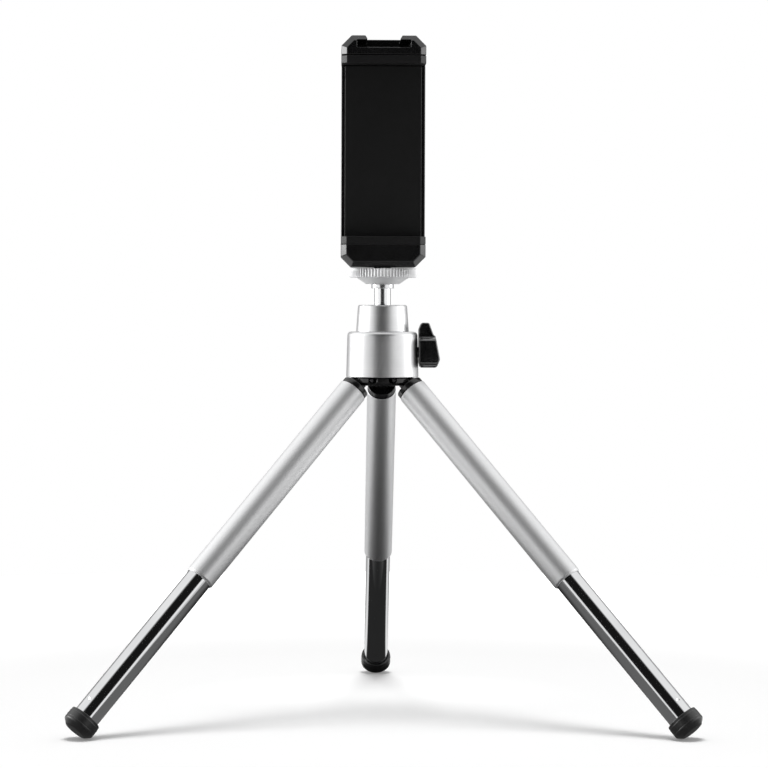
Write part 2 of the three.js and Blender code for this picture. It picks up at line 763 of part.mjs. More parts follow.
// A jaw's outer form, from its inner face at z = inner to its outer end at z = outer, with
// chamfered outer corners and a bevel round the front. It runs on past the inner face.
function jawForm(inner, outer) {
  const away = Math.sign(outer - inner);
  const past = inner - away * 2 * JAW_BEVEL;
  const outline = [
    [-halfWidth, past],
    [halfWidth, past],
    [halfWidth, outer - away * JAW_CHAMFER],
    [halfWidth - JAW_CHAMFER, outer],
    [-halfWidth + JAW_CHAMFER, outer],
    [-halfWidth, outer - away * JAW_CHAMFER],
  ];
  const depth = CLAMP_BACK - CLAMP_FRONT;
  const form = new THREE.ExtrudeGeometry(
    new THREE.Shape(outline.map(([x, z]) => new THREE.Vector2(x, z))),
    {
      depth,
      bevelEnabled: true,
      bevelThickness: JAW_BEVEL,
      bevelSize: JAW_BEVEL,
      bevelOffset: -JAW_BEVEL,
      bevelSegments: 1,
    },
  )
    .rotateX(Math.PI / 2)
    .translate(0, CLAMP_FRONT + depth + JAW_BEVEL, 0);
  return overlapOf(
    form,
    block(
      [-SLICE, SLICE],
      [CLAMP_FRONT - SLICE, CLAMP_BACK],
      [Math.min(inner, outer), Math.max(inner, outer)],
    ),
  );
}

// A blind or through hole along Y, from y0 to y1, at x and z.
function holeY(radius, x, z, y0, y1) {
  return rodY(radius, y0, y1).translate(x, 0, z);
}

const coverScrewPlaces = {
  lower_left: [-coverScrewX, lowerJawTopZ + COVER_SCREW_FROM_END],
  lower_right: [coverScrewX, lowerJawTopZ + COVER_SCREW_FROM_END],
  upper_left: [-coverScrewX, columnTopZ - COVER_SCREW_FROM_END],
  upper_right: [coverScrewX, columnTopZ - COVER_SCREW_FROM_END],
};
const screwSeatY = CLAMP_BACK - SMALL_SCREW_HEAD;
const screwPocketY = screwSeatY - FIT;
const springPinZ = cavityFloorZ + SPRING_PIN_ABOVE_FLOOR;
const springPinHalf = cavityHalf + COLUMN_SIDE_WALL / 2;

// The lower jaw and the column behind the phone are one moulding, open at the back.
function clampHousing() {
  const jaw = jawForm(lowerJawTopZ, clampFootZ);
  const edge = COLUMN_EDGE;
  const column = slabZ(
    [
      [-halfWidth, columnBack],
      [-halfWidth, COLUMN_FRONT + edge],
      [-halfWidth + edge, COLUMN_FRONT],
      [halfWidth - edge, COLUMN_FRONT],
      [halfWidth, COLUMN_FRONT + edge],
      [halfWidth, columnBack],
    ],
    lowerJawTopZ - edge,
    columnTopZ,
  );
  const cavity = block([-cavityHalf, cavityHalf], [cavityFront, SLICE], [cavityFloorZ, cavityTopZ]);
  const mouth = block(
    [-neckHalf - FIT, neckHalf + FIT],
    [sliderMid - SLIDER_THICKNESS / 2 - FIT, SLICE],
    [cavityTopZ - edge, columnTopZ + SLICE],
  );
  const insertPocket = rodZ(
    INSERT_RADIUS + FIT,
    clampFootZ - SLICE,
    clampFootZ + INSERT_HEIGHT + 2 * FIT,
    ROUND,
  );
  const coreX = INSERT_RADIUS + FIT + CORE_WALL + CORE_WIDTH / 2;
  const cores = [-coreX, coreX].map((x) =>
    block(
      [x - CORE_WIDTH / 2, x + CORE_WIDTH / 2],
      [CLAMP_FRONT + JAW_BEVEL + CORE_WALL, jawPadBack - CORE_WALL],
      [lowerJawTopZ - CORE_DEPTH, lowerJawTopZ + SLICE],
    ),
  );
  const screwHoles = Object.values(coverScrewPlaces).map(([x, z]) =>
    holeY(SMALL_SCREW_RADIUS + FIT, x, z, screwSeatY - COVER_SCREW_LENGTH - FIT, SLICE),
  );
  const pinHoleHalf = springPinHalf + FIT;
  const pinHole = rodX(SPRING_PIN_RADIUS + FIT, -pinHoleHalf, pinHoleHalf).translate(
    0,
    sliderMid,
    springPinZ,
  );
  const body = cut(join(jaw, column), cavity, mouth, insertPocket, ...cores, ...screwHoles, pinHole);
  return piece("clamp_housing", body, "blackPlastic");
}

function backCover() {
  const front = columnBack + FIT;
  const plate = slabZ(
    [
      [-halfWidth, front],
      [halfWidth, front],
      [halfWidth, CLAMP_BACK - COVER_EDGE],
      [halfWidth - COVER_EDGE, CLAMP_BACK],
      [-halfWidth + COVER_EDGE, CLAMP_BACK],
      [-halfWidth, CLAMP_BACK - COVER_EDGE],
    ],
    lowerJawTopZ + FIT,
    columnTopZ,
  );
  const holes = Object.values(coverScrewPlaces).flatMap(([x, z]) => [
    holeY(SMALL_SCREW_RADIUS + FIT, x, z, -SLICE, SLICE),
    holeY(SMALL_SCREW_HEAD_RADIUS + FIT, x, z, screwPocketY, SLICE),
  ]);
  return piece("clamp_back_cover", cut(plate, ...holes), "blackPlastic");
}

// A small screw driven forwards, in from the back at x and z.
function smallScrew(name, x, z, length) {
  const mesh = screw(name, SMALL_SCREW_RADIUS, SMALL_SCREW_HEAD_RADIUS, SMALL_SCREW_HEAD, length);
  mesh.rotation.x = Math.PI / 2;
  mesh.position.set(x, screwSeatY, z);
  return mesh;
}

function lowerJawPad() {
  const pad = overlapOf(
    jawForm(lowerPadTopZ, clampFootZ),
    block([-SLICE, SLICE], [CLAMP_FRONT, jawPadBack], [lowerJawTopZ + FIT, lowerPadTopZ]),
  );
  return piece("lower_jaw_pad", pad, "blackRubber");
}

function gripPad() {
  const half = halfWidth - GRIP_PAD_INSET;
  const footZ = lowerPadTopZ + FIT;
  const topZ = columnTopZ - FIT;
  const c = GRIP_PAD_CORNER;
  const outline = [
    [-half + c, footZ],
    [half - c, footZ],
    [half, footZ + c],
    [half, topZ - c],
    [half - c, topZ],
    [-half + c, topZ],
    [-half, topZ - c],
    [-half, footZ + c],
  ];
  return piece("grip_pad", slabY(outline, gripPadFront, COLUMN_FRONT - FIT), "blackRubber");
}

function threadInsert() {
  const bore = STUD_RADIUS + FIT;
  const footZ = clampFootZ + FIT;
  const topZ = clampFootZ + INSERT_HEIGHT;
  const grooveZ = (footZ + topZ) / 2;
  const geometry = turned(
    [
      [bore, footZ],
      [INSERT_RADIUS, footZ],
      [INSERT_RADIUS, grooveZ - INSERT_GROOVE / 2],
      [INSERT_RADIUS - INSERT_GROOVE_DEPTH, grooveZ - INSERT_GROOVE / 2],
      [INSERT_RADIUS - INSERT_GROOVE_DEPTH, grooveZ + INSERT_GROOVE / 2],
      [INSERT_RADIUS, grooveZ + INSERT_GROOVE / 2],
      [INSERT_RADIUS, topZ],
      [bore, topZ],
    ],
    ROUND,
  );
  return piece("thread_insert", geometry, "brass");
}

// ---------------------------------------------------------------- moving jaw

const sliderTopZ = upperPadFootZ + SLIDER_IN_JAW;
const shoulderTopZ = cavityTopZ - JAW_TRAVEL - FIT;
const shoulderFootZ = shoulderTopZ - SLIDER_SHOULDER;
const sliderFootZ = shoulderFootZ - SLIDER_TONGUE;
const shoeFloorZ = upperJawTopZ - SHOE_RAIL - SHOE_HEIGHT;
const jawScrewZ = sliderTopZ - JAW_SCREW_BELOW_SLIDER_TOP;

function upperJaw() {
  const form = jawForm(upperPadFootZ, upperJawTopZ);
  const padRoom = block([-SLICE, SLICE], [-SLICE, jawPadBack + FIT], [0, upperJawFootZ]);
  const shoeBack = CLAMP_BACK - SHOE_WALL;
  const shoe = block(
    [-SHOE_WIDTH / 2, SHOE_WIDTH / 2],
    [-SLICE, shoeBack],
    [shoeFloorZ, upperJawTopZ - SHOE_RAIL],
  );
  const railGap = block(
    [-SHOE_RAIL_GAP / 2, SHOE_RAIL_GAP / 2],
    [-SLICE, shoeBack],
    [shoeFloorZ + SHOE_HEIGHT / 2, upperJawTopZ + SLICE],
  );
  const sliderRoom = block(
    [-neckHalf - FIT, neckHalf + FIT],
    [sliderMid - SLIDER_THICKNESS / 2 - FIT, sliderMid + SLIDER_THICKNESS / 2 + FIT],
    [0, sliderTopZ + FIT],
  );
  const holes = [-jawScrewX, jawScrewX].flatMap((x) => [
    holeY(SMALL_SCREW_RADIUS + FIT, x, jawScrewZ, screwSeatY - JAW_SCREW_LENGTH - FIT, SLICE),
    holeY(SMALL_SCREW_HEAD_RADIUS + FIT, x, jawScrewZ, screwPocketY, SLICE),
  ]);
  return piece("upper_jaw", cut(form, padRoom, shoe, railGap, sliderRoom, ...holes), "blackPlastic");
}

function upperJawPad() {
  const pad = overlapOf(
    jawForm(upperPadFootZ, upperJawTopZ),
    block([-SLICE, SLICE], [CLAMP_FRONT, jawPadBack], [upperPadFootZ, upperPadFootZ + JAW_PAD]),
  );
  return piece("upper_jaw_pad", pad, "blackRubber");
}

// A steel strip: its neck goes up into the jaw, its shoulders stop under the column's ceiling
// and carry the springs, and its tongue keeps it straight.
function slider() {
  const outline = [
    [-tongueHalf, sliderFootZ],
    [tongueHalf, sliderFootZ],
    [tongueHalf, shoulderFootZ],
    [shoulderHalf, shoulderFootZ],
    [shoulderHalf, shoulderTopZ],
    [neckHalf, shoulderTopZ],
    [neckHalf, sliderTopZ],
    [-neckHalf, sliderTopZ],
    [-neckHalf, shoulderTopZ],
    [-shoulderHalf, shoulderTopZ],
    [-shoulderHalf, shoulderFootZ],
    [-tongueHalf, shoulderFootZ],
  ];
  const half = SLIDER_THICKNESS / 2;
  const plate = slabY(outline, sliderMid - half, sliderMid + half);
  const holes = [-jawScrewX, jawScrewX].map((x) =>
    holeY(SMALL_SCREW_RADIUS + FIT, x, jawScrewZ, -SLICE, SLICE),
  );
  return piece("jaw_slider", cut(plate, ...holes), "steel");
}

// A coil between the spring pin below and the slider's shoulder above.
class Coil extends THREE.Curve {
  constructor(footZ, topZ) {
    super();
    this.footZ = footZ;
    this.topZ = topZ;
  }

  getPoint(t, target = new THREE.Vector3()) {
    const angle = 2 * Math.PI * SPRING_TURNS * t;
    return target.set(
      SPRING_COIL_RADIUS * Math.cos(angle),
      SPRING_COIL_RADIUS * Math.sin(angle),
      THREE.MathUtils.lerp(this.footZ, this.topZ, t),
    );
  }
}

function spring(name, x) {
  const footZ = springPinZ + SPRING_PIN_RADIUS + FIT + SPRING_WIRE_RADIUS;
  const topZ = shoulderFootZ - FIT - SPRING_WIRE_RADIUS;
  const wire = new THREE.Shape(
    Array.from({ length: SPRING_WIRE_SIDES }, (_, i) => {
      const angle = (2 * Math.PI * i) / SPRING_WIRE_SIDES;
      return new THREE.Vector2(
        SPRING_WIRE_RADIUS * Math.cos(angle),
        SPRING_WIRE_RADIUS * Math.sin(angle),
      );
    }),
  );
  const geometry = new THREE.ExtrudeGeometry(wire, {
    extrudePath: new Coil(footZ, topZ),
    steps: SPRING_TURNS * SPRING_STEPS,
    bevelEnabled: false,
  });
  const mesh = piece(name, geometry, "steel");
  mesh.position.set(x, sliderMid, 0);
  return mesh;
}

function springPin() {
  const mesh = piece("spring_pin", rodX(SPRING_PIN_RADIUS, -springPinHalf, springPinHalf), "steel");
  mesh.position.set(0, sliderMid, springPinZ);
  return mesh;
}

// ---------------------------------------------------------------- assembly

const tripod = new THREE.Group();

for (const [side, azimuth] of Object.entries(LEG_AZIMUTHS)) {
  const direction = new THREE.Group();
  direction.rotation.z = THREE.MathUtils.degToRad(azimuth);
  const leg = new THREE.Group();
  leg.position.set(pivotRadius, 0, pivotZ);
  leg.rotation.y = -LEG_ANGLE;
  leg.add(knuckle(side), outerTube(side), innerTube(side), guideBush(side), footCap(side));
  const pin = pivotPin(side);
  pin.position.set(pivotRadius, 0, pivotZ);
  direction.add(leg, pin);
  tripod.add(direction);
}

tripod.add(hub(), hubScrew(), headHousing(), ballCollar(), ballSeat());
tripod.add(pressurePlug(), lockScrew(), lockKnob());
tripod.add(ballStem(), stemNut(), cameraStud(), knurledDisc());
tripod.add(clampHousing(), backCover(), lowerJawPad(), gripPad(), threadInsert());
for (const [place, [x, z]] of Object.entries(coverScrewPlaces)) {
  tripod.add(smallScrew(`cover_screw_${place}`, x, z, COVER_SCREW_LENGTH));
}
tripod.add(upperJaw(), upperJawPad(), slider(), springPin());
tripod.add(spring("spring_left", -springX), spring("spring_right", springX));
tripod.add(
  smallScrew("jaw_screw_left", -jawScrewX, jawScrewZ, JAW_SCREW_LENGTH),
  smallScrew("jaw_screw_right", jawScrewX, jawScrewZ, JAW_SCREW_LENGTH),
);

// The bottom centre of the bounding box goes to the origin.
const bounds = new THREE.Box3().setFromObject(tripod, true);
const centre = bounds.getCenter(new THREE.Vector3());
tripod.position.set(-centre.x, -centre.y, -bounds.min.z);

const model = new THREE.Group();
model.add(tripod);
export default model;
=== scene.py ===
import math

import bmesh
import bpy
from mathutils import Matrix, Vector


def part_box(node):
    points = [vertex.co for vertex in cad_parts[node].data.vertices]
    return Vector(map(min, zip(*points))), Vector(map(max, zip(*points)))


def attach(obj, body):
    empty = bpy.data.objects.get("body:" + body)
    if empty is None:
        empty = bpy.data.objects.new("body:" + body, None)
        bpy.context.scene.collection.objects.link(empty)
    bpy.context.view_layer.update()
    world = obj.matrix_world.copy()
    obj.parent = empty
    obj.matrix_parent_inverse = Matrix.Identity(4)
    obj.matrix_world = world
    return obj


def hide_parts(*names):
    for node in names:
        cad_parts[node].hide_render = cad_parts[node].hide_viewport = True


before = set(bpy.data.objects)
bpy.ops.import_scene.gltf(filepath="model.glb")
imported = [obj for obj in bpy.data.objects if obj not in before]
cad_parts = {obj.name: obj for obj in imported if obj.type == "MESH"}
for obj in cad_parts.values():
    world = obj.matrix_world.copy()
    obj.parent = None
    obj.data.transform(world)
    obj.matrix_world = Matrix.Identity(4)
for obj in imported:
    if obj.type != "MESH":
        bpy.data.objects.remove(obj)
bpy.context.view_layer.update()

MM = 0.001
SIDES = ("back", "left", "right")
Z = Vector((0, 0, 1))


# -------- measuring the frame, in millimetres

def box(node):
    """A CAD node's lowest and highest corners."""
    lo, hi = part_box(node)
    return lo / MM, hi / MM


def middle(node):
    """The centre of its box, as [x, y, z]."""
    return [(a + b) / 2 for a, b in zip(*box(node))]


def heights(node):
    """The foot and the top of a CAD node."""
    lo, hi = box(node)
    return lo.z, hi.z


def points(node):
    return [v.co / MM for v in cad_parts[node].data.vertices]


def span(node, origin, axis):
    """Where a CAD node starts and ends along an axis."""
    along = [(p - origin).dot(axis) for p in points(node)]
    return min(along), max(along)


def radius(node, origin, axis):
    """How far a CAD node reaches from an axis."""
    def off(p):
        q = p - origin
        return (q - q.dot(axis) * axis).length
    return max(off(p) for p in points(node))


STEM = Vector((*middle("head_housing")[:2], 0))


def on_stem(z=0.0):
    """The matrix of a place on the stem's axis."""
    return Matrix.Translation(Vector((STEM.x, STEM.y, z)))


def in_metres(matrix):
    made = matrix.copy()
    made.translation = made.translation * MM
    return made


# -------- shapes, in millimetres

FILLET_STEP = 15    # degrees


def rounded(corners):
    """Corners (a, b) or (a, b, fillet) as a path with its fillets. An open path has none at its ends."""
    path = []
    for i, (*corner, fillet) in enumerate([(*c, 0)[:3] for c in corners]):
        here = Vector(corner)
        if not fillet:
            path.append(here)
            continue
        back = Vector(corners[i - 1][:2]) - here
        on = Vector(corners[(i + 1) % len(corners)][:2]) - here
        turn = math.pi - back.angle(on)
        reach = fillet * math.tan(turn / 2)
        start = here + back.normalized() * reach
        end = here + on.normalized() * reach
        centre = here + (back.normalized() + on.normalized()).normalized() * (fillet / math.cos(turn / 2))
        steps = max(2, math.ceil(math.degrees(turn) / FILLET_STEP))
        a, b = start - centre, end - centre
        sweep = a.angle(b)
        for k in range(steps + 1):
            t = k / steps
            share_a = math.sin((1 - t) * sweep) / math.sin(sweep)
            share_b = math.sin(t * sweep) / math.sin(sweep)
            path.append(centre + a * share_a + b * share_b)
    return [(p.x, p.y) for p in path]


def rounded_rectangle(half, low, high, fillet):
    return rounded([(-half, low, fillet), (half, low, fillet), (half, high, fillet), (-half, high, fillet)])


def arc(centre_a, centre_b, r, from_deg, to_deg, steps):
    made = []
    for i in range(steps + 1):
        t = math.radians(from_deg + (to_deg - from_deg) * i / steps)
        made.append((centre_a + r * math.cos(t), centre_b + r * math.sin(t)))
    return made


def steps_between(start, end, step):
    """Even stations between two places, without the two."""
    count = max(1, round(abs(end - start) / step))
    return [start + (end - start) * i / count for i in range(1, count)]


def add_object(name, data):
    obj = bpy.data.objects.new(name, data)
    bpy.context.scene.collection.objects.link(obj)
    return obj


def add_mesh(name, bm):
    mesh = bpy.data.meshes.new(name)
    bm.to_mesh(mesh)
    bm.free()
    return add_object(name, mesh)


def solid(name, bm, place=None):
    """An object from a bmesh in millimetres. Its place is a matrix, or z = 0 on the stem's axis."""
    bmesh.ops.recalc_face_normals(bm, faces=bm.faces)
    bmesh.ops.scale(bm, vec=(MM, MM, MM), verts=bm.verts)
    obj = add_mesh(name, bm)
    obj.matrix_world = in_metres(on_stem() if place is None else place)
    return obj


def lathe(name, profile, segments, place=None, shape=None):
    """A solid of revolution about Z. The profile is a path of (radius, height) that starts and ends on
    the axis, or closes on itself. shape(radius, angle, height) may move a point's radius."""
    bm = bmesh.new()
    rings = []
    for r, z in profile:
        rings.append([])
        for i in range(segments if r else 1):
            a = 2 * math.pi * i / segments
            out = shape(r, a, z) if shape else r
            rings[-1].append(bm.verts.new((out * math.cos(a), out * math.sin(a), z)))
    pairs = list(zip(rings, rings[1:]))
    if len(rings[0]) > 1:
        pairs.append((rings[-1], rings[0]))
    for one, two in pairs:
        for i in range(segments):
            j = (i + 1) % segments
            if len(one) == 1:
                bm.faces.new((one[0], two[i], two[j]))
            elif len(two) == 1:
                bm.faces.new((one[i], one[j], two[0]))
            else:
                bm.faces.new((one[i], one[j], two[j], two[i]))
    return solid(name, bm, place)


def loft(name, outlines, place=None):
    """Outlines of as many points each, as lists of (x, y, z), skinned in order and capped."""
    bm = bmesh.new()
    rows = [[bm.verts.new(p) for p in outline] for outline in outlines]
    bm.faces.new(rows[0])
    bm.faces.new(rows[-1])
    for one, two in zip(rows, rows[1:]):
        for i in range(len(one)):
            j = (i + 1) % len(one)
            bm.faces.new((one[i], one[j], two[j], two[i]))
    return solid(name, bm, place)


def prism(name, outline, low, high, axis="z", place=None):
    """An outline extruded along an axis. It is (x, y) for z, (x, z) for y and (y, z) for x."""
    def at(a, b, h):
        return {"z": (a, b, h), "y": (a, h, b), "x": (h, a, b)}[axis]
    return loft(name, [[at(*p, h) for p in outline] for h in (low, high)], place)


def block(x, y, z, place=None):
    """A tool between two limits on each axis."""
    outline = [(x[0], y[0]), (x[1], y[0]), (x[1], y[1]), (x[0], y[1])]
    return prism("tool", outline, *z, place=place)


def rod(r, low, high, axis="z", centre=(0, 0), segments=64, place=None):
    """A round tool along an axis."""
    return prism("tool", arc(*centre, r, 0, 360, segments)[:-1], low, high, axis, place)


def settle(obj):
    """Applies an object's modifiers to its mesh."""
    bpy.context.view_layer.update()
    made = bpy.data.meshes.new_from_object(obj.evaluated_get(bpy.context.evaluated_depsgraph_get()))
    old = obj.data
    obj.modifiers.clear()
    made.name = obj.name
    obj.data = made
    bpy.data.meshes.remove(old)


def combine(obj, tools, operation):
    """Joins, cuts or trims an object by each tool, and uses the tools up."""
    for tool in tools:
        modifier = obj.modifiers.new("boolean", "BOOLEAN")
        modifier.operation = operation
        modifier.solver = "EXACT"
        modifier.object = tool
        settle(obj)
        bpy.data.meshes.remove(tool.data)


def cut(obj, *tools):
    combine(obj, tools, "DIFFERENCE")


def join(obj, *tools):
    combine(obj, tools, "UNION")


def trim(obj, *tools):
    combine(obj, tools, "INTERSECT")


def clean(obj):
    """Merges what a cut leaves, and joins flat neighbouring faces."""
    bm = bmesh.new()
    bm.from_mesh(obj.data)
    bmesh.ops.remove_doubles(bm, verts=bm.verts, dist=0.002 * MM)
    bmesh.ops.dissolve_limit(bm, angle_limit=math.radians(0.5), verts=bm.verts, edges=bm.edges)
    bm.to_mesh(obj.data)
    bm.free()


def soften(obj, width, segments=3, angle=28):
    """Rounds an object's edges that are sharper than an angle."""
    clean(obj)
    modifier = obj.modifiers.new("bevel", "BEVEL")
    modifier.width = width * MM
    modifier.segments = segments
    modifier.limit_method = "ANGLE"
    modifier.angle_limit = math.radians(angle)
    modifier.use_clamp_overlap = False
    modifier.miter_outer = "MITER_ARC"
    settle(obj)


def shade(obj, angle):
    """Smooth shading, with the creases over an angle kept sharp."""
    bm = bmesh.new()
    bm.from_mesh(obj.data)
    for face in bm.faces:
        face.smooth = True
    for edge in bm.edges:
        edge.smooth = not (edge.is_manifold and edge.calc_face_angle(0) > math.radians(angle))
    bm.to_mesh(obj.data)
    bm.free()
    obj.modifiers.new("normals", "WEIGHTED_NORMAL").keep_sharp = True


def wear(obj, finish):
    """Gives an object the material of a finish, which is a slot and a material. The slot is not used."""
    slot, material = finish
    obj.data.materials.clear()
    obj.data.materials.append(material)


def piece(obj, body, node, finish, angle=40):
    """Completes a piece: its shading and finish, its body, and the CAD node that it stands for."""
    shade(obj, angle)
    wear(obj, finish)
    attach(obj, body)
    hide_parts(node)


# -------- materials

class Nodes:
    """Builds a node tree."""

    def __init__(self, tree):
        self.tree = tree
        tree.nodes.clear()

    def add(self, kind):
        return self.tree.nodes.new("ShaderNode" + kind)

    def put(self, value, socket):
        """Sets a socket to a constant, or links it to another socket."""
        if isinstance(value, bpy.types.NodeSocket):
            self.tree.links.new(value, socket)
        else:
            socket.default_value = value

    def fill(self, node, inputs):
        """Sets or links a node's inputs by their names."""
        for name, value in inputs.items():
            self.put(value, node.inputs[name])

    def feed(self, node, values):
        """Sets or links a node's first inputs, and returns its first output."""
        for value, socket in zip(values, node.inputs):
            self.put(value, socket)
        return node.outputs[0]

    def output(self, shader, kind="OutputMaterial"):
        self.put(shader.outputs[0], self.add(kind).inputs["Surface"])

    def calc(self, operation, *values):
        node = self.add("Math")
        node.operation = operation
        return self.feed(node, values)

    def length(self, *sides):
        return self.calc("SQRT", self.calc("ADD", *[self.calc("POWER", side, 2) for side in sides]))

    def split(self, vector):
        node = self.add("SeparateXYZ")
        self.put(vector, node.inputs[0])
        return node.outputs

    def spread(self, value, low, high, at_low, at_high, kind="LINEAR"):
        """Maps a value between two limits to another range, and stays in it beyond them."""
        node = self.add("MapRange")
        node.interpolation_type = kind
        return self.feed(node, (value, low, high, at_low, at_high))

    def fade(self, *limits):
        return self.spread(*limits, kind="SMOOTHSTEP")


class Surface(Nodes):
    """A node material round one Principled shader, which may have constants of its own."""

    def __init__(self, name, constants):
        self.material = bpy.data.materials.new(name)
        self.material.use_nodes = True
        super().__init__(self.material.node_tree)
        self.shader = self.add("BsdfPrincipled")
        self.output(self.shader)
        self.fill(self.shader, constants)
        self.place = self.add("TexCoord").outputs["Object"]

    def scaled(self, x, y, z):
        """Object coordinates multiplied along each axis."""
        node = self.add("VectorMath")
        node.operation = "MULTIPLY"
        return self.feed(node, (self.place, (x, y, z)))

    def noise(self, vector, detail, roughness=0.55):
        node = self.add("TexNoise")
        self.fill(node, {"Vector": vector, "Scale": 1, "Detail": detail, "Roughness": roughness})
        return node.outputs["Fac"]

    def dense(self, density):
        """Object coordinates times a density per millimetre, which may be one for each axis."""
        return self.scaled(*[d / MM for d in (density if isinstance(density, tuple) else [density] * 3)])

    def grain(self, density, detail, roughness=0.55):
        return self.noise(self.dense(density), detail, roughness)

    def rings(self, across, along, detail):
        """Noise in rings round Z, with a density across and along the axis, per millimetre."""
        out = self.add("VectorMath")
        out.operation = "LENGTH"
        self.put(self.scaled(1, 1, 0), out.inputs[0])
        both = self.add("CombineXYZ")
        self.put(self.calc("MULTIPLY", out.outputs["Value"], across / MM), both.inputs[0])
        self.put(self.calc("MULTIPLY", self.split(self.place)[2], along / MM), both.inputs[2])
        return self.noise(both.outputs[0], detail)

    def cells(self, density):
        node = self.add("TexVoronoi")
        self.fill(node, {"Vector": self.dense(density), "Scale": 1})
        return node.outputs["Distance"]

    def blend(self, pattern, low, high, one, two, most=1):
        """A colour that turns into another one as a pattern rises between two limits."""
        node = self.add("Mix")
        node.data_type = "RGBA"
        self.put(self.spread(pattern, low, high, 0, most), node.inputs["Factor"])
        for value, socket in zip((one, two), [s for s in node.inputs if s.type == "RGBA"]):
            self.put((*value, 1) if isinstance(value, tuple) else value, socket)
        return next(s for s in node.outputs if s.type == "RGBA")

    def bump(self, height, distance, under=None):
        """A bump whose height of 1 is a distance in millimetres. It may lie on another bump."""
        node = self.add("Bump")
        self.fill(node, {"Strength": 1, "Distance": distance * MM, "Height": height})
        if under is not None:
            self.put(under, node.inputs["Normal"])
        return node.outputs["Normal"]

    def finish(self, colour, rough, normal):
        self.fill(self.shader, {"Base Color": colour, "Roughness": rough, "Normal": normal})
        return self.material


METAL = {"Metallic": 1}
ALUMINIUM = ((0.74, 0.745, 0.75), (0.82, 0.822, 0.825), (0.73, 0.732, 0.74))
CHROMIUM = ((0.82, 0.825, 0.83), (0.76, 0.765, 0.775))


def shifted(tones, by):
    """Tones made lighter or darker."""
    return [tuple(c + by for c in tone) for tone in tones]


def turned_aluminium(name, low, high, lift=0):
    """Aluminium with the rings of a lathe."""
    s = Surface(name, METAL)
    rings = s.rings(3, 9, 3)
    cloud = s.grain(0.18, 3)
    dark, light, dull = shifted(ALUMINIUM, lift)
    colour = s.blend(cloud, 0.4, 0.7, s.blend(rings, 0.3, 0.7, dark, light), dull, 0.5)
    rough = s.calc("ADD", s.spread(rings, 0.3, 0.7, low, high), s.spread(cloud, 0.3, 0.7, 0, 0.04))
    return s.finish(colour, rough, s.bump(s.grain(9, 2), 0.0035, s.bump(rings, 0.004)))


def drawn_aluminium():
    """Fine-grained aluminium with faint lines along the tube."""
    s = Surface("drawn_aluminium", METAL)
    grain = s.grain((7, 7, 4), 3, 0.6)
    lines = s.grain((5, 5, 0.12), 3)
    cloud = s.grain((0.15, 0.15, 0.05), 3)
    dark, light, dull = ALUMINIUM
    colour = s.blend(cloud, 0.35, 0.7, s.blend(grain, 0.3, 0.7, dark, light), dull, 0.5)
    rough = s.calc("ADD", s.spread(grain, 0.3, 0.7, 0.45, 0.5), s.spread(cloud, 0.3, 0.7, 0, 0.04))
    return s.finish(colour, rough, s.bump(grain, 0.005, s.bump(lines, 0.004)))


def chrome(name, low, high, dim=0):
    """Chrome with smudges and hairlines."""
    s = Surface(name, METAL)
    smudge = s.grain((0.12, 0.12, 0.05), 5, 0.6)
    colour = s.blend(smudge, 0.4, 0.7, *shifted(CHROMIUM, -dim))
    rough = s.spread(smudge, 0.35, 0.75, low, high)
    return s.finish(colour, rough, s.bump(s.grain((12, 12, 0.2), 2), 0.0006))


def spotted_metal(name, tones, rough, spots=1.1, depth=0.004, rolled=False):
    """Metal with spots of a second tone. Its fine lines go round, or along where it is rolled."""
    s = Surface(name, METAL)
    lines = s.grain((8, 8, 0.25), 4) if rolled else s.rings(6, 2, 3)
    colour = s.blend(s.grain(spots, 4), 0.35, 0.7, *tones)
    return s.finish(colour, s.spread(lines, 0.3, 0.7, *rough), s.bump(lines, depth))


def black_plastic():
    """Moulded plastic with a spark-eroded surface."""
    s = Surface("black_plastic", {"Specular IOR Level": 0.7})
    erosion = s.grain(7, 3, 0.6)
    cloud = s.grain(0.12, 4)
    tone = s.blend(erosion, 0.35, 0.65, (0.003, 0.003, 0.0032), (0.005, 0.005, 0.0053))
    colour = s.blend(cloud, 0.45, 0.75, tone, (0.006, 0.006, 0.0063), 0.6)
    rough = s.spread(s.calc("ADD", erosion, cloud), 0.7, 1.3, 0.19, 0.26)
    return s.finish(colour, rough, s.bump(erosion, 0.0018))


def gloss_plastic():
    """Polished plastic with a clear skin."""
    s = Surface("gloss_plastic", {
        "Specular IOR Level": 0.6, "Coat Weight": 1, "Coat IOR": 1.75, "Coat Roughness": 0.08,
    })
    cloud = s.grain(0.25, 4)
    fine = s.grain(5, 2)
    colour = s.blend(cloud, 0.35, 0.7, (0.004, 0.004, 0.0042), (0.0065, 0.0065, 0.0068))
    rough = s.spread(s.calc("ADD", cloud, s.calc("MULTIPLY", fine, 0.3)), 0.45, 0.9, 0.12, 0.24)
    return s.finish(colour, rough, s.bump(fine, 0.0012))


def black_rubber():
    """Grainy rubber, dusty in places."""
    s = Surface("black_rubber", {"Specular IOR Level": 0.75})
    grain = s.grain(4.5, 4, 0.65)
    cloud = s.grain(0.2, 4)
    tone = s.blend(grain, 0.35, 0.65, (0.004, 0.004, 0.0042), (0.0075, 0.0075, 0.0078))
    colour = s.blend(cloud, 0.5, 0.75, tone, (0.01, 0.01, 0.0104), 0.7)
    return s.finish(colour, s.spread(grain, 0.3, 0.7, 0.36, 0.48), s.bump(grain, 0.008))


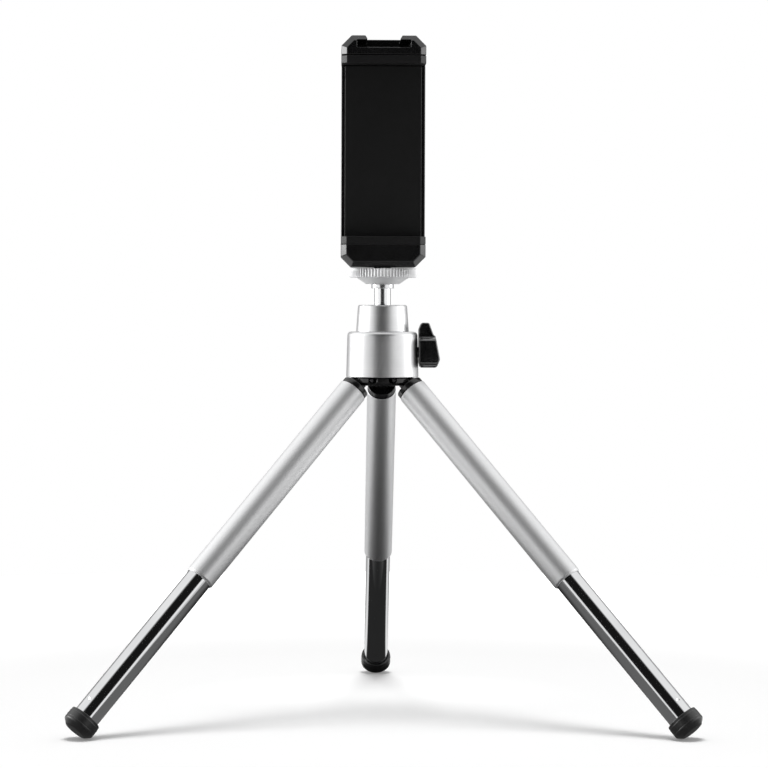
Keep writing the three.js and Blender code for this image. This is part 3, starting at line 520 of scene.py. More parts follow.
def pad_rubber():
    """Matt rubber with small pores."""
    s = Surface("pad_rubber", {"Specular IOR Level": 0.42})
    pores = s.cells(3.2)
    grain = s.grain(6, 3)
    cloud = s.grain(0.1, 4)
    tone = s.blend(pores, 0.1, 0.7, (0.0034, 0.0034, 0.0036), (0.0058, 0.0058, 0.0061))
    colour = s.blend(cloud, 0.45, 0.75, tone, (0.007, 0.007, 0.0073), 0.7)
    return s.finish(colour, s.spread(grain, 0.3, 0.7, 0.36, 0.48), s.bump(grain, 0.006, s.bump(pores, 0.006)))


def nylon():
    """White nylon that lets a little light in."""
    s = Surface("nylon", {"Subsurface Weight": 0.15, "Subsurface Scale": 0.001})
    fine = s.grain(4, 3)
    colour = s.blend(s.grain(0.4, 4), 0.35, 0.7, (0.8, 0.79, 0.74), (0.72, 0.7, 0.64))
    return s.finish(colour, s.spread(fine, 0.3, 0.7, 0.4, 0.55), s.bump(fine, 0.006))


# Each finish is a slot and a material.
TURNED = "satin_aluminium", turned_aluminium("turned_aluminium", 0.31, 0.36)
FROSTED = "satin_aluminium", turned_aluminium("frosted_aluminium", 0.57, 0.63, 0.12)
DRAWN = "satin_aluminium", drawn_aluminium()
CHROME = "chrome", chrome("chrome", 0.07, 0.12, 0.12)
SATIN = "chrome", chrome("satin_chrome", 0.17, 0.24)
STEEL = "steel", spotted_metal("bright_steel", ((0.56, 0.565, 0.58), (0.44, 0.445, 0.46)), (0.22, 0.36))
BLACKENED = "steel", spotted_metal(
    "blackened_steel", ((0.06, 0.06, 0.063), (0.035, 0.035, 0.037)), (0.3, 0.44))
STRIP = "steel", spotted_metal(
    "rolled_steel", ((0.6, 0.605, 0.62), (0.5, 0.505, 0.52)), (0.22, 0.38), (0.3, 0.3, 0.2), rolled=True)
BRASS = "brass", spotted_metal(
    "brass", ((0.72, 0.5, 0.2), (0.56, 0.36, 0.13)), (0.24, 0.4), 0.9, 0.005)
PLASTIC = "black_plastic", black_plastic()
GLOSS = "gloss_plastic", gloss_plastic()
RUBBER = "black_rubber", black_rubber()
PAD = "black_rubber", pad_rubber()
NYLON = "nylon", nylon()


# -------- legs

LEG_SEGMENTS = 128
TUBE_WALL = 0.3
STATION = 6    # how far apart a tube's rings are
DIMPLE_FROM_FOOT = 4.4
DIMPLE_RADIUS = 0.95
DIMPLE_DEPTH = 0.32
# Each dimple's turn from its tube's upper side, in degrees. All three turn towards the camera.
DIMPLE_TURN = {"back": 180, "left": -19, "right": 25}


def leg_frame(side):
    """A leg's pivot, its direction, and its frame's matrix: Z down the leg and Y on its upper side."""
    pivot = Vector(middle(f"pivot_pin_{side}"))
    tube = points(f"outer_tube_{side}")
    down = (sum(tube, Vector()) / len(tube) - pivot).normalized()
    across = down.cross(Z).normalized()
    upper = down.cross(across)
    if upper.z < 0:
        across, upper = -across, -upper
    matrix = Matrix((across, upper, down)).transposed().to_4x4()
    matrix.translation = pivot
    return pivot, down, matrix


def along_leg(part, side):
    """The radius of a leg's part round the leg's axis, and where it starts and ends along the axis."""
    pivot, down, _ = leg_frame(side)
    node = f"{part}_{side}"
    return radius(node, pivot, down), *span(node, pivot, down)


def make_outer_tube(side):
    """The upper tube, with its lower end rolled in towards the inner tube."""
    r, top, end = along_leg("outer_tube", side)
    bore = r - TUBE_WALL
    lip = along_leg("inner_tube", side)[0] + 0.1
    bend, bend_r = end - 0.95, 0.42
    profile = [(bore, top + 0.1), (bore + 0.1, top), (r - 0.12, top), (r, top + 0.12)]
    profile += [(r, at) for at in steps_between(top, bend, STATION)]
    profile += arc(r - bend_r, end - 0.78, bend_r, 0, 78, 8)
    profile += [(lip + 0.04, end - 0.22), (lip + 0.03, end - 0.03), (lip, end), (lip, end - 0.3)]
    profile += [(bore, bend)] + [(bore, at) for at in steps_between(bend, top, STATION)]
    tube = lathe(f"leg_outer_{side}", profile, LEG_SEGMENTS, leg_frame(side)[2])
    piece(tube, f"leg_{side}", f"outer_tube_{side}", DRAWN, 32)


def make_inner_tube(side):
    """The lower tube, with the dimple that crimps it to the foot's plug."""
    outside, top, end = along_leg("inner_tube", side)
    dimple_at = along_leg("foot_cap", side)[1] - DIMPLE_FROM_FOOT
    turn = math.radians(90 + DIMPLE_TURN[side])
    # The rings are close round the dimple.
    reach, fine = 1.5, 0.15
    stations = [top] + steps_between(top, dimple_at - reach, STATION)
    stations += [dimple_at - reach + fine * i for i in range(round(2 * reach / fine) + 1)]
    stations += steps_between(dimple_at + reach, end, 2) + [end]

    def dimpled(r, a, at):
        round_off = (a - turn + math.pi) % (2 * math.pi) - math.pi
        distance = math.hypot(round_off * outside, at - dimple_at) / DIMPLE_RADIUS
        return r - DIMPLE_DEPTH * (1 - distance ** 2) ** 1.5 if distance < 1 else r

    bore = outside - 0.35
    profile = [(outside, at) for at in stations] + [(bore, at) for at in reversed(stations)]
    tube = lathe(f"leg_inner_{side}", profile, 176, leg_frame(side)[2], dimpled)
    piece(tube, f"leg_extension_{side}", f"inner_tube_{side}", CHROME)


def make_foot(side):
    """The rubber foot: a lip, a groove above the sole, and a rounded sole."""
    r, top, end = along_leg("foot_cap", side)
    r, end = r - 0.02, end - 0.02
    plug_end = end - 1.6
    groove = end - 2.6
    grip = along_leg("inner_tube", side)[0] + 0.03
    corners = [
        (0, plug_end), (grip, plug_end), (grip, top + 0.25), (grip + 0.25, top), (r - 0.12, top, 0.22),
        (r - 0.12, top + 0.95, 0.1), (r, top + 1.1, 0.1), (r, groove - 0.16, 0.06),
        (r - 0.06, groove - 0.06, 0.04), (r - 0.06, groove + 0.06, 0.04), (r, groove + 0.16, 0.06),
        (r, end - 1.7, 0.9), (r - 1.75, end - 0.12, 0.9), (r * 0.45, end, 2), (0, end),
    ]
    cap = lathe(f"leg_foot_{side}", rounded(corners), LEG_SEGMENTS, leg_frame(side)[2])
    # Its own axes turn to the frame's, and its shape stays.
    cap.data.transform(cap.matrix_world.to_3x3().to_4x4())
    cap.matrix_world = Matrix.Translation(cap.matrix_world.translation)
    piece(cap, f"leg_extension_{side}", f"foot_cap_{side}", RUBBER, 50)


def make_knuckle(side):
    """The upper tube's end plug: a head that closes the tube, a shank, and a tongue with a round eye."""
    r, _, end = along_leg("leg_knuckle", side)
    tube_r, tube_top, _ = along_leg("outer_tube", side)
    matrix = leg_frame(side)[2]
    face, back = tube_top - 2.05, tube_top - 0.3
    shank_r = tube_r - TUBE_WALL - 0.3
    corners = [(0, face), (r, face, 0.35), (r, back, 0.15), (shank_r, back), (shank_r, end, 0.5), (0, end)]
    plug = lathe(f"leg_joint_{side}", rounded(corners), 96, matrix)
    eye_r, bore_r, half = 1.9, 0.75, 2
    outline = [(-eye_r, face + 1)] + arc(0, 0, eye_r, 180, 360, 24) + [(eye_r, face + 1)]
    tongue = prism("tool", outline, -half, half, "x", matrix)
    soften(tongue, 0.25)
    join(plug, tongue)
    cut(plug, rod(bore_r, -12, 12, "x", segments=32, place=matrix))
    piece(plug, f"leg_{side}", f"leg_knuckle_{side}", PLASTIC)


def make_pivot_pin(side):
    """The pin, along the leg frame's X."""
    pivot, _, matrix = leg_frame(side)
    node = f"pivot_pin_{side}"
    across = matrix.col[0].to_3d()
    r, reach = radius(node, pivot, across), span(node, pivot, across)[1]
    corners = [(0, -reach), (r, -reach, 0.15), (r, reach, 0.15), (0, reach)]
    place = matrix @ Matrix.Rotation(math.pi / 2, 4, "Y")
    pin = lathe(f"pin_{side}", rounded(corners), 48, place)
    piece(pin, "head", node, BLACKENED, 32)


for leg_side in SIDES:
    for make_part in (make_outer_tube, make_inner_tube, make_foot, make_knuckle, make_pivot_pin):
        make_part(leg_side)


# -------- hub and ball head

def cross_recess(head_r, depth_at, out):
    """Tools that cut a cross recess into a screw's head, which faces -Z, up to a depth."""
    def rectangle(x, y, z):
        return [(-x, -y, z), (x, -y, z), (x, y, z), (-x, y, z)]
    arm, half = head_r * 0.62, head_r * 0.15
    return [
        loft("tool", [rectangle(x, y, out), rectangle(x * 0.6, y * 0.75, depth_at)], Matrix())
        for x, y in ((arm, half), (half, arm))
    ]


def thread(core, crest, pitch, start, end):
    """A radius that follows a single-start thread between two heights."""
    def shape(r, a, z):
        if abs(r - crest) > 0.01 or not start <= z <= end:
            return r
        t = (z / pitch - a / (2 * math.pi)) % 1
        run_out = min(1, (z - start) / pitch, (end - z) / pitch)
        return crest - (crest - core) * run_out * (1 - abs(2 * t - 1))
    return shape


def make_screw(name, node, body, place, length, r, head_r, head):
    """A cross-head screw along +Z with its head's bearing face at z = 0."""
    pitch = r * 0.5
    tip = length - r / 2
    profile = rounded([
        (0, -head), (head_r * 0.55, -head), (head_r, -head * 0.7, head * 0.3), (head_r, 0, 0.05), (r, 0),
        (r, 0.1),
    ])
    profile += [(r, z) for z in steps_between(0.1, tip, pitch / 6)]
    profile += [(r, tip), (r / 2, length), (0, length)]
    screw = lathe(name, profile, 48, Matrix(), thread(r * 0.8, r, pitch, 0.3, tip))
    cut(screw, *cross_recess(head_r, -head * 0.35, -head - 1))
    screw.matrix_world = in_metres(place)
    piece(screw, body, node, STEEL)


hub_foot, hub_top = heights("leg_hub")
housing_foot, housing_top = heights("head_housing")
collar_foot, collar_top = heights("ball_collar")
stem_top = heights("ball_stem")[1]
lock_z = middle("lock_screw")[2]
pivot_z = middle("pivot_pin_back")[2]
pivot_r = leg_frame("back")[0].y - STEM.y
BALL_UNDER_RIM = 6.3


def make_hub():
    """A plate whose rim stops the opened legs, with a slot for each leg's tongue and a groove for its pin."""
    r = radius("leg_hub", STEM, Z)
    down = leg_frame("back")[1]
    leg_angle = math.atan2(abs(down.y), abs(down.z))
    # The rim's chamfer follows the faces of the opened legs' heads, which lie this far down the legs.
    stop = 2.68
    on_r = pivot_r + stop * math.sin(leg_angle)
    on_z = pivot_z - stop * math.cos(leg_angle)
    chamfer_r = on_r + (hub_foot - on_z) / math.tan(leg_angle)
    chamfer_z = on_z + (r - on_r) * math.tan(leg_angle)
    rim_top, plug_r, top = housing_foot - 0.3 - hub_foot, 7, hub_top - hub_foot
    corners = [
        (0, 0), (chamfer_r, 0, 0.4), (r, chamfer_z - hub_foot, 0.3), (r, rim_top, 0.15),
        (plug_r, rim_top), (plug_r, top), (0, top),
    ]
    hub = lathe("hub", rounded(corners), 128, on_stem(hub_foot))
    bore_r, sink_r, sink = 1.8, 3.1, 2.4
    tools = [
        rod(bore_r, -5, top + 5, segments=48, place=on_stem(hub_foot)),
        rod(sink_r, -5, sink, place=on_stem(hub_foot)),
    ]
    slot_start, slot_half, pin_r = pivot_r - 2.2, 2.3, 1
    for side in SIDES:
        out = leg_frame(side)[0] - STEM
        place = on_stem() @ Matrix.Rotation(math.atan2(out.y, out.x), 4, "Z")
        tools += [
            block((slot_start, 40), (-slot_half, slot_half), (hub_foot - 5, pivot_z + 2.2), place),
            rod(pin_r, -20, 20, "y", (pivot_r, pivot_z), 32, place),
            block((pivot_r - pin_r, pivot_r + pin_r), (-20, 20), (pivot_z, pivot_z + 20), place),
        ]
    cut(hub, *tools)
    soften(hub, 0.18, 2, 40)
    piece(hub, "head", "leg_hub", PLASTIC)


def make_hub_screw():
    foot, top = heights("hub_screw")
    head, length = 1.8, top - foot - 1.8
    make_screw("hub_cross_screw", "hub_screw", "head", on_stem(foot + head), length, 1.5, 2.8, head)


def make_housing():
    """The lower barrel: a skirt round the hub, a floor with the seat's hole, and the collar's bore."""
    r = radius("head_housing", STEM, Z)
    top = housing_top - housing_foot
    skirt, skirt_top = r - 1.7, pivot_z + 2.5 - housing_foot
    bore, ledge, floor_top, floor_foot, shaft = 7.9, 7.3, 10.7, 8.9, 1.8
    corners = [
        (skirt, 0), (r - 0.12, 0), (r, 0.12, 0.1), (r - 0.4, top, 1.35), (9.15, top, 0.1), (8.6, top - 0.12),
        (bore, top - 0.12), (bore, floor_top), (shaft, floor_top), (shaft, floor_foot), (ledge, floor_foot),
        (ledge, skirt_top), (skirt, skirt_top),
    ]
    # Long walls have rings between their ends, for the boolean and the normals.
    path = []
    longest, parts = 3, 6
    dense = rounded(corners)
    for one, two in zip(dense, dense[1:] + dense[:1]):
        path.append(one)
        if math.dist(one, two) > longest:
            path += [tuple(a + (b - a) * (k / parts) for a, b in zip(one, two)) for k in range(1, parts)]
    housing = lathe("head_barrel", path, 160, on_stem(housing_foot))
    cut(housing, rod(2.3, 0, 40, "x", (0, lock_z - housing_foot), 48, on_stem(housing_foot)))
    piece(housing, "head", "head_housing", TURNED, 30)


def make_collar():
    """The upper barrel, whose throat closes over the ball."""
    r = radius("ball_collar", STEM, Z)
    shoulder = housing_top + 0.02 - collar_foot
    top = collar_top - collar_foot
    socket_r, throat_r, inside, plug_r = 6.5, 5.7, 6.6, 7.6
    path = rounded([
        (inside, 0), (plug_r, 0), (plug_r, shoulder), (r - 0.1, shoulder), (r, shoulder + 0.12, 0.08),
        (8.32, top, 0.75), (7.35, top, 0.12), (6.9, top - 0.12),
    ])
    throat = math.degrees(math.acos(throat_r / socket_r))
    ball_z = top - BALL_UNDER_RIM
    path += arc(0, ball_z, socket_r, throat, 0, 10) + [(inside, ball_z)]
    collar = lathe("ball_socket", path, 160, on_stem(collar_foot))
    piece(collar, "head", "ball_collar", TURNED, 30)


def make_stem():
    """The ball, its neck, and the pin in the stud."""
    ball_r, neck_r, pin_r = 6.2, 2.8, 1.6
    ball_z = collar_top - BALL_UNDER_RIM
    shoulder, top = heights("stem_nut")[0] - ball_z, stem_top - ball_z
    neck = math.degrees(math.acos((neck_r + 0.35) / ball_r))
    ball_top = ball_r * math.sin(math.radians(neck))
    path = [(0, -ball_r)] + arc(0, 0, ball_r, -90, neck, 40)[1:]
    path += [(neck_r + 0.12, ball_top + 0.22), (neck_r, ball_top + 0.6)]
    path += [(neck_r, z) for z in steps_between(ball_top + 0.6, shoulder - 0.25, 1)]
    path += [(neck_r, shoulder - 0.05), (neck_r - 0.05, shoulder), (pin_r, shoulder)]
    path += [(pin_r, z) for z in steps_between(shoulder, top, 1)] + [(pin_r, top), (0, top)]
    stem = lathe("ball_and_stem", path, 128, on_stem(ball_z))
    piece(stem, "ball", "ball_stem", SATIN)


def make_nut():
    foot = heights("stem_nut")[0]
    height = heights("knurled_disc")[0] - 0.05 - foot
    r, bore = radius("stem_nut", STEM, Z), 1.9
    corners = [(bore, 0), (r, 0, 0.06), (r, height, 0.06), (bore, height)]
    nut = lathe("stem_washer", rounded(corners), 96, on_stem(foot))
    piece(nut, "ball", "stem_nut", SATIN)


TEETH = 69
TOOTH_STEPS = 6
TOOTH_DEPTH = 0.36


def make_disc():
    """The disc: a cone under a knurled band."""
    foot, top = heights("knurled_disc")
    r = radius("knurled_disc", STEM, Z)
    height = top - foot
    bore, band_foot = 3.45, height - 3.1
    cone_start, cone_end, cone_foot = 5.78, 8.95, 0.06

    def cone(at):
        return at, cone_foot + (at - cone_start) * (band_foot - 0.1) / (cone_end - cone_start), 0
    # Each ring is (radius, height, share of the teeth's depth).
    rings = [(bore, 0, 0), (5.65, 0, 0)]
    rings += [cone(at) for at in (cone_start, 6.6, 7.4, 8.2, cone_end)]
    rings += [
        (9.05, band_foot, 0), (10.2, band_foot, 0), (r - 0.62, band_foot, 0),
        (r - 0.28, band_foot + 0.12, 0.3), (r, band_foot + 0.42, 1), (r, band_foot + 1.2, 1),
        (r, band_foot + 2, 1), (r, height - 0.42, 1),
        (r - 0.28, height - 0.12, 0.3), (r - 0.62, height, 0), (9.5, height, 0), (bore, height, 0),
    ]
    share = {(r_, z): k for r_, z, k in rings}

    def knurled(rr, a, z):
        # Teeth with a narrow crest and a rounded root.
        valley = 0.5 - 0.5 * math.cos(a * TEETH)
        return rr - TOOTH_DEPTH * share[rr, z] * valley ** 0.7
    disc = lathe("knurled_ring", [ring[:2] for ring in rings], TEETH * TOOTH_STEPS, on_stem(foot), knurled)
    piece(disc, "disc", "knurled_disc", FROSTED, 34)


def make_stud():
    """The 1/4 inch stud, with its bore for the stem's pin."""
    foot, top = heights("camera_stud")
    r, bore = radius("camera_stud", STEM, Z), 1.9
    height, bore_top = top - foot, stem_top + 0.3 - foot
    tip = height - 0.8
    pitch, thread_foot = 1.27, 4.6
    path = [(0, bore_top), (bore, bore_top), (bore, 0), (r, 0)]
    path += [(r, z) for z in steps_between(0, tip, 0.2)] + [(r, tip), (r - 0.75, height), (0, height)]
    stud = lathe("camera_thread", path, 64, on_stem(foot), thread(r - 0.6, r, pitch, thread_foot, tip))
    piece(stud, "ball", "camera_stud", STEEL)


make_hub()
make_hub_screw()
make_housing()
make_collar()
make_stem()
make_nut()
make_disc()
make_stud()


# -------- lock

LOCK = Matrix.Translation(Vector((0, STEM.y, lock_z)))


def make_knob():
    """A rounded square along the screw, with a wing that rises from it."""
    lo, hi = box("lock_knob")
    # The photo shows hardly any gap to the barrel, and the screw only moves outwards from here.
    face, end = lo.x - 0.35, hi.x
    reach = hi.z - lock_z
    r = (hi.y - lo.y) / 2
    knob = prism("lock_wing_knob", rounded_rectangle(r, -r, r, 1.9), face, end, "x", LOCK)
    half = 2.6
    wing = prism("tool", [(face, 0), (end, 0), (end, reach), (face, reach)], -half, half, "y", LOCK)
    join(knob, wing)
    # The side view, as (x, z) from the screw's axis.
    outline = rounded([
        (face, -r * 0.62, 0.8), (face + 0.45, -r, 0.8), (end - 1.1, -r, 1.2), (end, -2.2, 1.4),
        (end - 1.45, r + 0.25, 0.7), (end - 2.15, r + 1.1, 0.5), (end - 3.65, reach, 0.8),
        (face + 0.95, reach, 1.2), (face, reach - 2.3, 1.6),
    ])
    trim(knob, prism("tool", outline, -r - 1, r + 1, "y", LOCK))
    soften(knob, 0.55, 4, 40)
    cut(knob, rod(2.05, 0, lo.x + 4.6, "x", segments=48, place=LOCK))
    clean(knob)
    piece(knob, "lock", "lock_knob", GLOSS, 48)


def make_lock_screw():
    lo, hi = box("lock_screw")
    r, pitch, end = 2, 0.7, 0.3
    place = Matrix.Translation(Vector((lo.x, STEM.y, lock_z))) @ Matrix.Rotation(math.pi / 2, 4, "Y")
    length = hi.x - lo.x
    path = [(0, 0), (r - end, 0), (r, end)] + [(r, z) for z in steps_between(end, length - end, 0.12)]
    path += [(r, length - end), (r - end, length), (0, length)]
    screw = lathe("lock_thread", path, 64, place, thread(r - 0.38, r, pitch, end, length - end))
    piece(screw, "lock", "lock_screw", STEEL)


make_knob()
make_lock_screw()


# -------- clamp

clamp_lo, clamp_hi = box("clamp_housing")
pad_lo = box("lower_jaw_pad")[0]
up_pad_lo, up_pad_hi = box("upper_jaw_pad")
grip_lo, grip_hi = box("grip_pad")
strip_hi = box("jaw_slider")[1]
HALF = (clamp_hi.x - clamp_lo.x) / 2
FRONT = clamp_lo.y - STEM.y
BACK = clamp_hi.y - STEM.y
CHAMFER = 3.45
BEVEL = 1.85
# CAD keeps a gap between the clamp's pieces. The visual pieces nearly close it.
GAP = 0.3
CLOSE = 0.25
JAW_TOP = pad_lo.z - GAP
STRIP_Y = middle("jaw_slider")[1] - STEM.y
STRIP_SLOT = (-strip_hi.x - GAP, strip_hi.x + GAP)
SLOT_HALF = 1.1
FAR = 40


def jaw_form(inner, outer, name):
    """A jaw's outer form: chamfered outer corners, and a bevel round the front. Heights are absolute."""
    away = 1 if outer > inner else -1

    def outline(y, half, edge, cut_off):
        side, end = edge - away * cut_off, half - cut_off
        return [(x, y, z) for x, z in (
            (-half, inner), (half, inner), (half, side), (end, edge), (-end, edge), (-half, side))]
    inset = CHAMFER + BEVEL * math.tan(math.radians(22.5)) - BEVEL
    return loft(name, [
        outline(FRONT, HALF - BEVEL, outer - away * BEVEL, inset),
        outline(FRONT + BEVEL, HALF, outer, CHAMFER),
        outline(BACK, HALF, outer, CHAMFER),
    ])


COVER_SCREWS = [f"cover_screw_{row}_{side}" for row in ("lower", "upper") for side in ("left", "right")]
JAW_SCREWS = ["jaw_screw_left", "jaw_screw_right"]


def screw_hole(r, screw, start, end=BACK + 1, segments=28):
    """A tool from front to back, where a screw sits."""
    return rod(r, start, end, "y", middle(screw)[::2], segments)


def sunk_holes(screws, start):
    """Tools for screws in the back: a hole from a depth on for each, and a sink for its head."""
    tools = []
    for screw in screws:
        tools += [screw_hole(0.9, screw, start), screw_hole(1.9, screw, BACK - 1.1, segments=56)]
    return tools


def make_clamp_body():
    """The lower jaw and the column, which is hollow and open at the back."""
    foot, top = clamp_lo.z, clamp_hi.z
    body = jaw_form(JAW_TOP + CLOSE, foot, "clamp_body")
    column_front = grip_hi.y + GAP - STEM.y
    column_back = box("clamp_back_cover")[0].y - GAP - STEM.y
    edge, face = 0.12, column_front - CLOSE
    join(body, prism("tool", [
        (-HALF, column_back), (-HALF, face + edge), (-HALF + edge, face), (HALF - edge, face),
        (HALF, face + edge), (HALF, column_back),
    ], JAW_TOP - 1.2, top + CLOSE))
    cavity_half, wall = HALF - 2.95, 4.6
    tools = [
        block((-cavity_half, cavity_half), (column_front + 1.7, FAR), (JAW_TOP + wall, top - wall)),
        block(STRIP_SLOT, (STRIP_Y - SLOT_HALF, FAR), (top - 6, top + 5)),
        rod(4.8, foot - 5, foot + 7, segments=72),
    ]
    # Two pockets lighten the jaw under its pad.
    for x in ((-11.8, -5.8), (5.8, 11.8)):
        tools.append(block(x, (FRONT + BEVEL + 1, column_front - 2.5), (JAW_TOP - 4.2, JAW_TOP + 20)))
    tools += [screw_hole(0.85, screw, BACK - 5.5, FAR, 24) for screw in COVER_SCREWS]
    pin_lo, pin_hi = box("spring_pin")
    tools.append(rod(0.9, pin_lo.x - GAP, pin_hi.x + GAP, "x", (STRIP_Y, middle("spring_pin")[2]), 24))
    cut(body, *tools)
    soften(body, 0.22, 3, 30)
    piece(body, "clamp", "clamp_housing", PLASTIC)


def make_cover():
    lo, hi = box("clamp_back_cover")
    front, edge = lo.y - STEM.y, 1.1
    foot, top = lo.z, hi.z + CLOSE
    outline = [(-HALF, front), (HALF, front), (HALF, BACK - edge), (HALF - edge, BACK), (-HALF + edge, BACK),
               (-HALF, BACK - edge)]
    cover = prism("clamp_cover", outline, foot, top)
    # A shallow panel in the back's middle.
    inset = 7.2
    panel = rounded_rectangle(8.6, foot + inset, top - inset, 1.5)
    cut(cover, *sunk_holes(COVER_SCREWS, front - 1), prism("tool", panel, BACK - 0.25, BACK + 1, "y"))
    soften(cover, 0.16, 3, 30)
    piece(cover, "clamp", "clamp_back_cover", PLASTIC)


def make_small_screw(node, body):
    lo, hi = box(node)
    x, _, z = middle(node)
    head = 0.8
    bearing = hi.y - head
    place = Matrix.Translation(Vector((x, bearing, z))) @ Matrix.Rotation(math.pi / 2, 4, "X")
    make_screw(node.replace("screw", "cross_screw"), node, body, place, bearing - lo.y, 0.8, 1.6, head)


def make_jaw_pad(name, body, node, outer):
    """A jaw's pad, with ribs across the face that the phone rests on."""
    lo, hi = box(node)
    face = hi.z if outer < lo.z else lo.z
    pad = jaw_form(face, outer, name)
    trim(pad, block((-FAR, FAR), (FRONT - 5, hi.y - STEM.y + CLOSE), (lo.z, hi.z)))
    end, first, pitch, width, depth = HALF - 1.6, FRONT + 2.3, 1.45, 0.5, 0.3
    ribs = [first + i * pitch for i in range(5)]
    cut(pad, *[block((-end, end), (y, y + width), (face - depth, face + depth)) for y in ribs])
    soften(pad, 0.16, 3, 30)
    piece(pad, body, node, PAD)


def make_grip_sheet():
    """The sheet on the column goes down behind the lower pad, and ends just under the upper one."""
    outline = rounded_rectangle(grip_hi.x, pad_lo.z, up_pad_lo.z - 0.08, 0.5)
    sheet = prism("grip_pad_sheet", outline, grip_lo.y - STEM.y, grip_hi.y - STEM.y, "y")
    soften(sheet, 0.22, 3, 40)
    piece(sheet, "clamp", "grip_pad", PAD)


def make_jaw():
    """The moving jaw, with an accessory shoe in its top."""
    foot, top = heights("upper_jaw")
    jaw = jaw_form(foot, top, "moving_jaw")
    # The shoe's section, as (x, z): its slot, and the rails, which slope a little above their lips.
    floor, under, lip = top - 4.1, top - 1.5, top - 1.1
    slot, wide, narrow = 9.05, 6.2, 5.6
    shoe = [
        (-slot, floor), (slot, floor), (slot, under), (narrow, under), (narrow, lip), (wide, top),
        (wide, top + 5), (-wide, top + 5), (-wide, top), (-narrow, lip), (-narrow, under), (-slot, under),
    ]
    cut(
        jaw,
        block((-FAR, FAR), (-FAR, up_pad_hi.y - STEM.y + GAP), (foot - 10, up_pad_hi.z + GAP)),
        prism("tool", shoe, -FAR, BACK - 1.8, "y"),
        block(STRIP_SLOT, (STRIP_Y - SLOT_HALF, STRIP_Y + SLOT_HALF), (foot - 10, strip_hi.z + GAP)),
        *sunk_holes(JAW_SCREWS, BACK - 6),
    )
    soften(jaw, 0.2, 3, 30)
    piece(jaw, "jaw", "upper_jaw", PLASTIC)


def make_insert():
    """The brass insert, with two knurled bands."""
    foot, top = heights("thread_insert")
    height, r, bore, edge = top - foot, radius("thread_insert", STEM, Z), 3.3, 0.3
    band_end, next_band, neck = height / 2 - 0.6, height / 2 + 0.6, r - 0.5
    path = [(bore, edge), (bore + edge, 0), (r - edge, 0), (r, edge)]
    path += [(r, z) for z in steps_between(edge, band_end, 0.8)] + [(r, band_end)]
    path += [(neck, height / 2 - 0.5), (neck, height / 2 + 0.5), (r, next_band)]
    path += [(r, height - edge), (r - edge, height), (bore + edge, height), (bore, height - edge)]

    def knurled(rr, a, _):
        return rr - 0.18 * (0.5 + 0.5 * math.cos(48 * a)) if rr == r else rr
    insert = lathe("threaded_insert", path, 240, on_stem(foot), knurled)
    piece(insert, "clamp", "thread_insert", BRASS)


make_clamp_body()
make_cover()
for cover_screw in COVER_SCREWS:
    make_small_screw(cover_screw, "clamp")
for jaw_screw in JAW_SCREWS:
    make_small_screw(jaw_screw, "jaw")
make_jaw_pad("jaw_pad_lower", "clamp", "lower_jaw_pad", clamp_lo.z)
make_jaw_pad("jaw_pad_upper", "jaw", "upper_jaw_pad", heights("upper_jaw")[1])
make_grip_sheet()
make_jaw()
make_insert()

# CAD nodes that are kept as they are.
KEPT = {
    "jaw_slider": STRIP, "spring_left": STEEL, "spring_right": STEEL, "spring_pin": STEEL, "ball_seat": NYLON,
    "pressure_plug": BRASS, **{f"guide_bush_{side}": NYLON for side in SIDES},
}
for kept_node, kept_finish in KEPT.items():
    wear(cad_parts[kept_node], kept_finish)


# -------- stage, in metres

def stage_disc(name, disc_radius, height):
    """A disc of the stage, and the nodes of its own material."""
    bm = bmesh.new()
    bmesh.ops.create_circle(bm, cap_ends=True, segments=96, radius=disc_radius)
    disc = add_mesh(name, bm)
    disc.location = (0, 0, height)
    material = bpy.data.materials.new(name)
    material.use_nodes = True
    disc.data.materials.append(material)
    return disc, Nodes(material.node_tree)


FLOOR_RADIUS = 0.5
FLOOR_HEIGHT = 0.0005
FLOOR_ALBEDO = 0.84
FLOOR_GLOW = 0.155
# How much painted light lifts the shadow on the floor between the legs.
FLOOR_PAINTED_LIGHT = 0.21


def make_floor():
    """A pale floor that fades into the white background towards its rim."""
    _, graph = stage_disc("floor", FLOOR_RADIUS, FLOOR_HEIGHT)
    calc, fade = graph.calc, graph.fade
    diffuse = graph.add("BsdfDiffuse")
    diffuse.inputs["Color"].default_value = (*[FLOOR_ALBEDO] * 3, 1)
    path = graph.add("LightPath").outputs
    seen = calc("MAXIMUM", path["Is Glossy Ray"], path["Is Transmission Ray"])
    seen = calc("MAXIMUM", seen, path["Is Camera Ray"])
    x, y, _ = graph.split(graph.add("TexCoord").outputs["Object"])
    rim = fade(graph.length(x, y), 0.15, FLOOR_RADIUS, FLOOR_GLOW, 1)
    # Painted light: the floor glows more between the legs. This lifts the shadow of the head and back leg
    # there, so that only the feet and tubes leave streaks.
    from_middle = graph.length(calc("MULTIPLY", x, 0.8), calc("SUBTRACT", y, 0.026))
    level = calc("ADD", rim, fade(from_middle, 0, 0.062, FLOOR_PAINTED_LIGHT, 0))
    glow = graph.add("Emission")
    graph.put(calc("MULTIPLY", seen, level), glow.inputs["Strength"])
    both = graph.add("AddShader")
    graph.feed(both, (diffuse.outputs[0], glow.outputs[0]))
    graph.output(both)


CARD_RADIUS = 1.2
CARD_ABOVE_FLOOR = 0.0004
CARD_DARK = 0.026
CARD_GREY = 0.165
CARD_LIGHT = 0.98
CARD_LEFT_DROP = 0.74
CARD_RIGHT_DROP = 0.28
CARD_FAR = 0.45
CARD_SIDE = 0.8


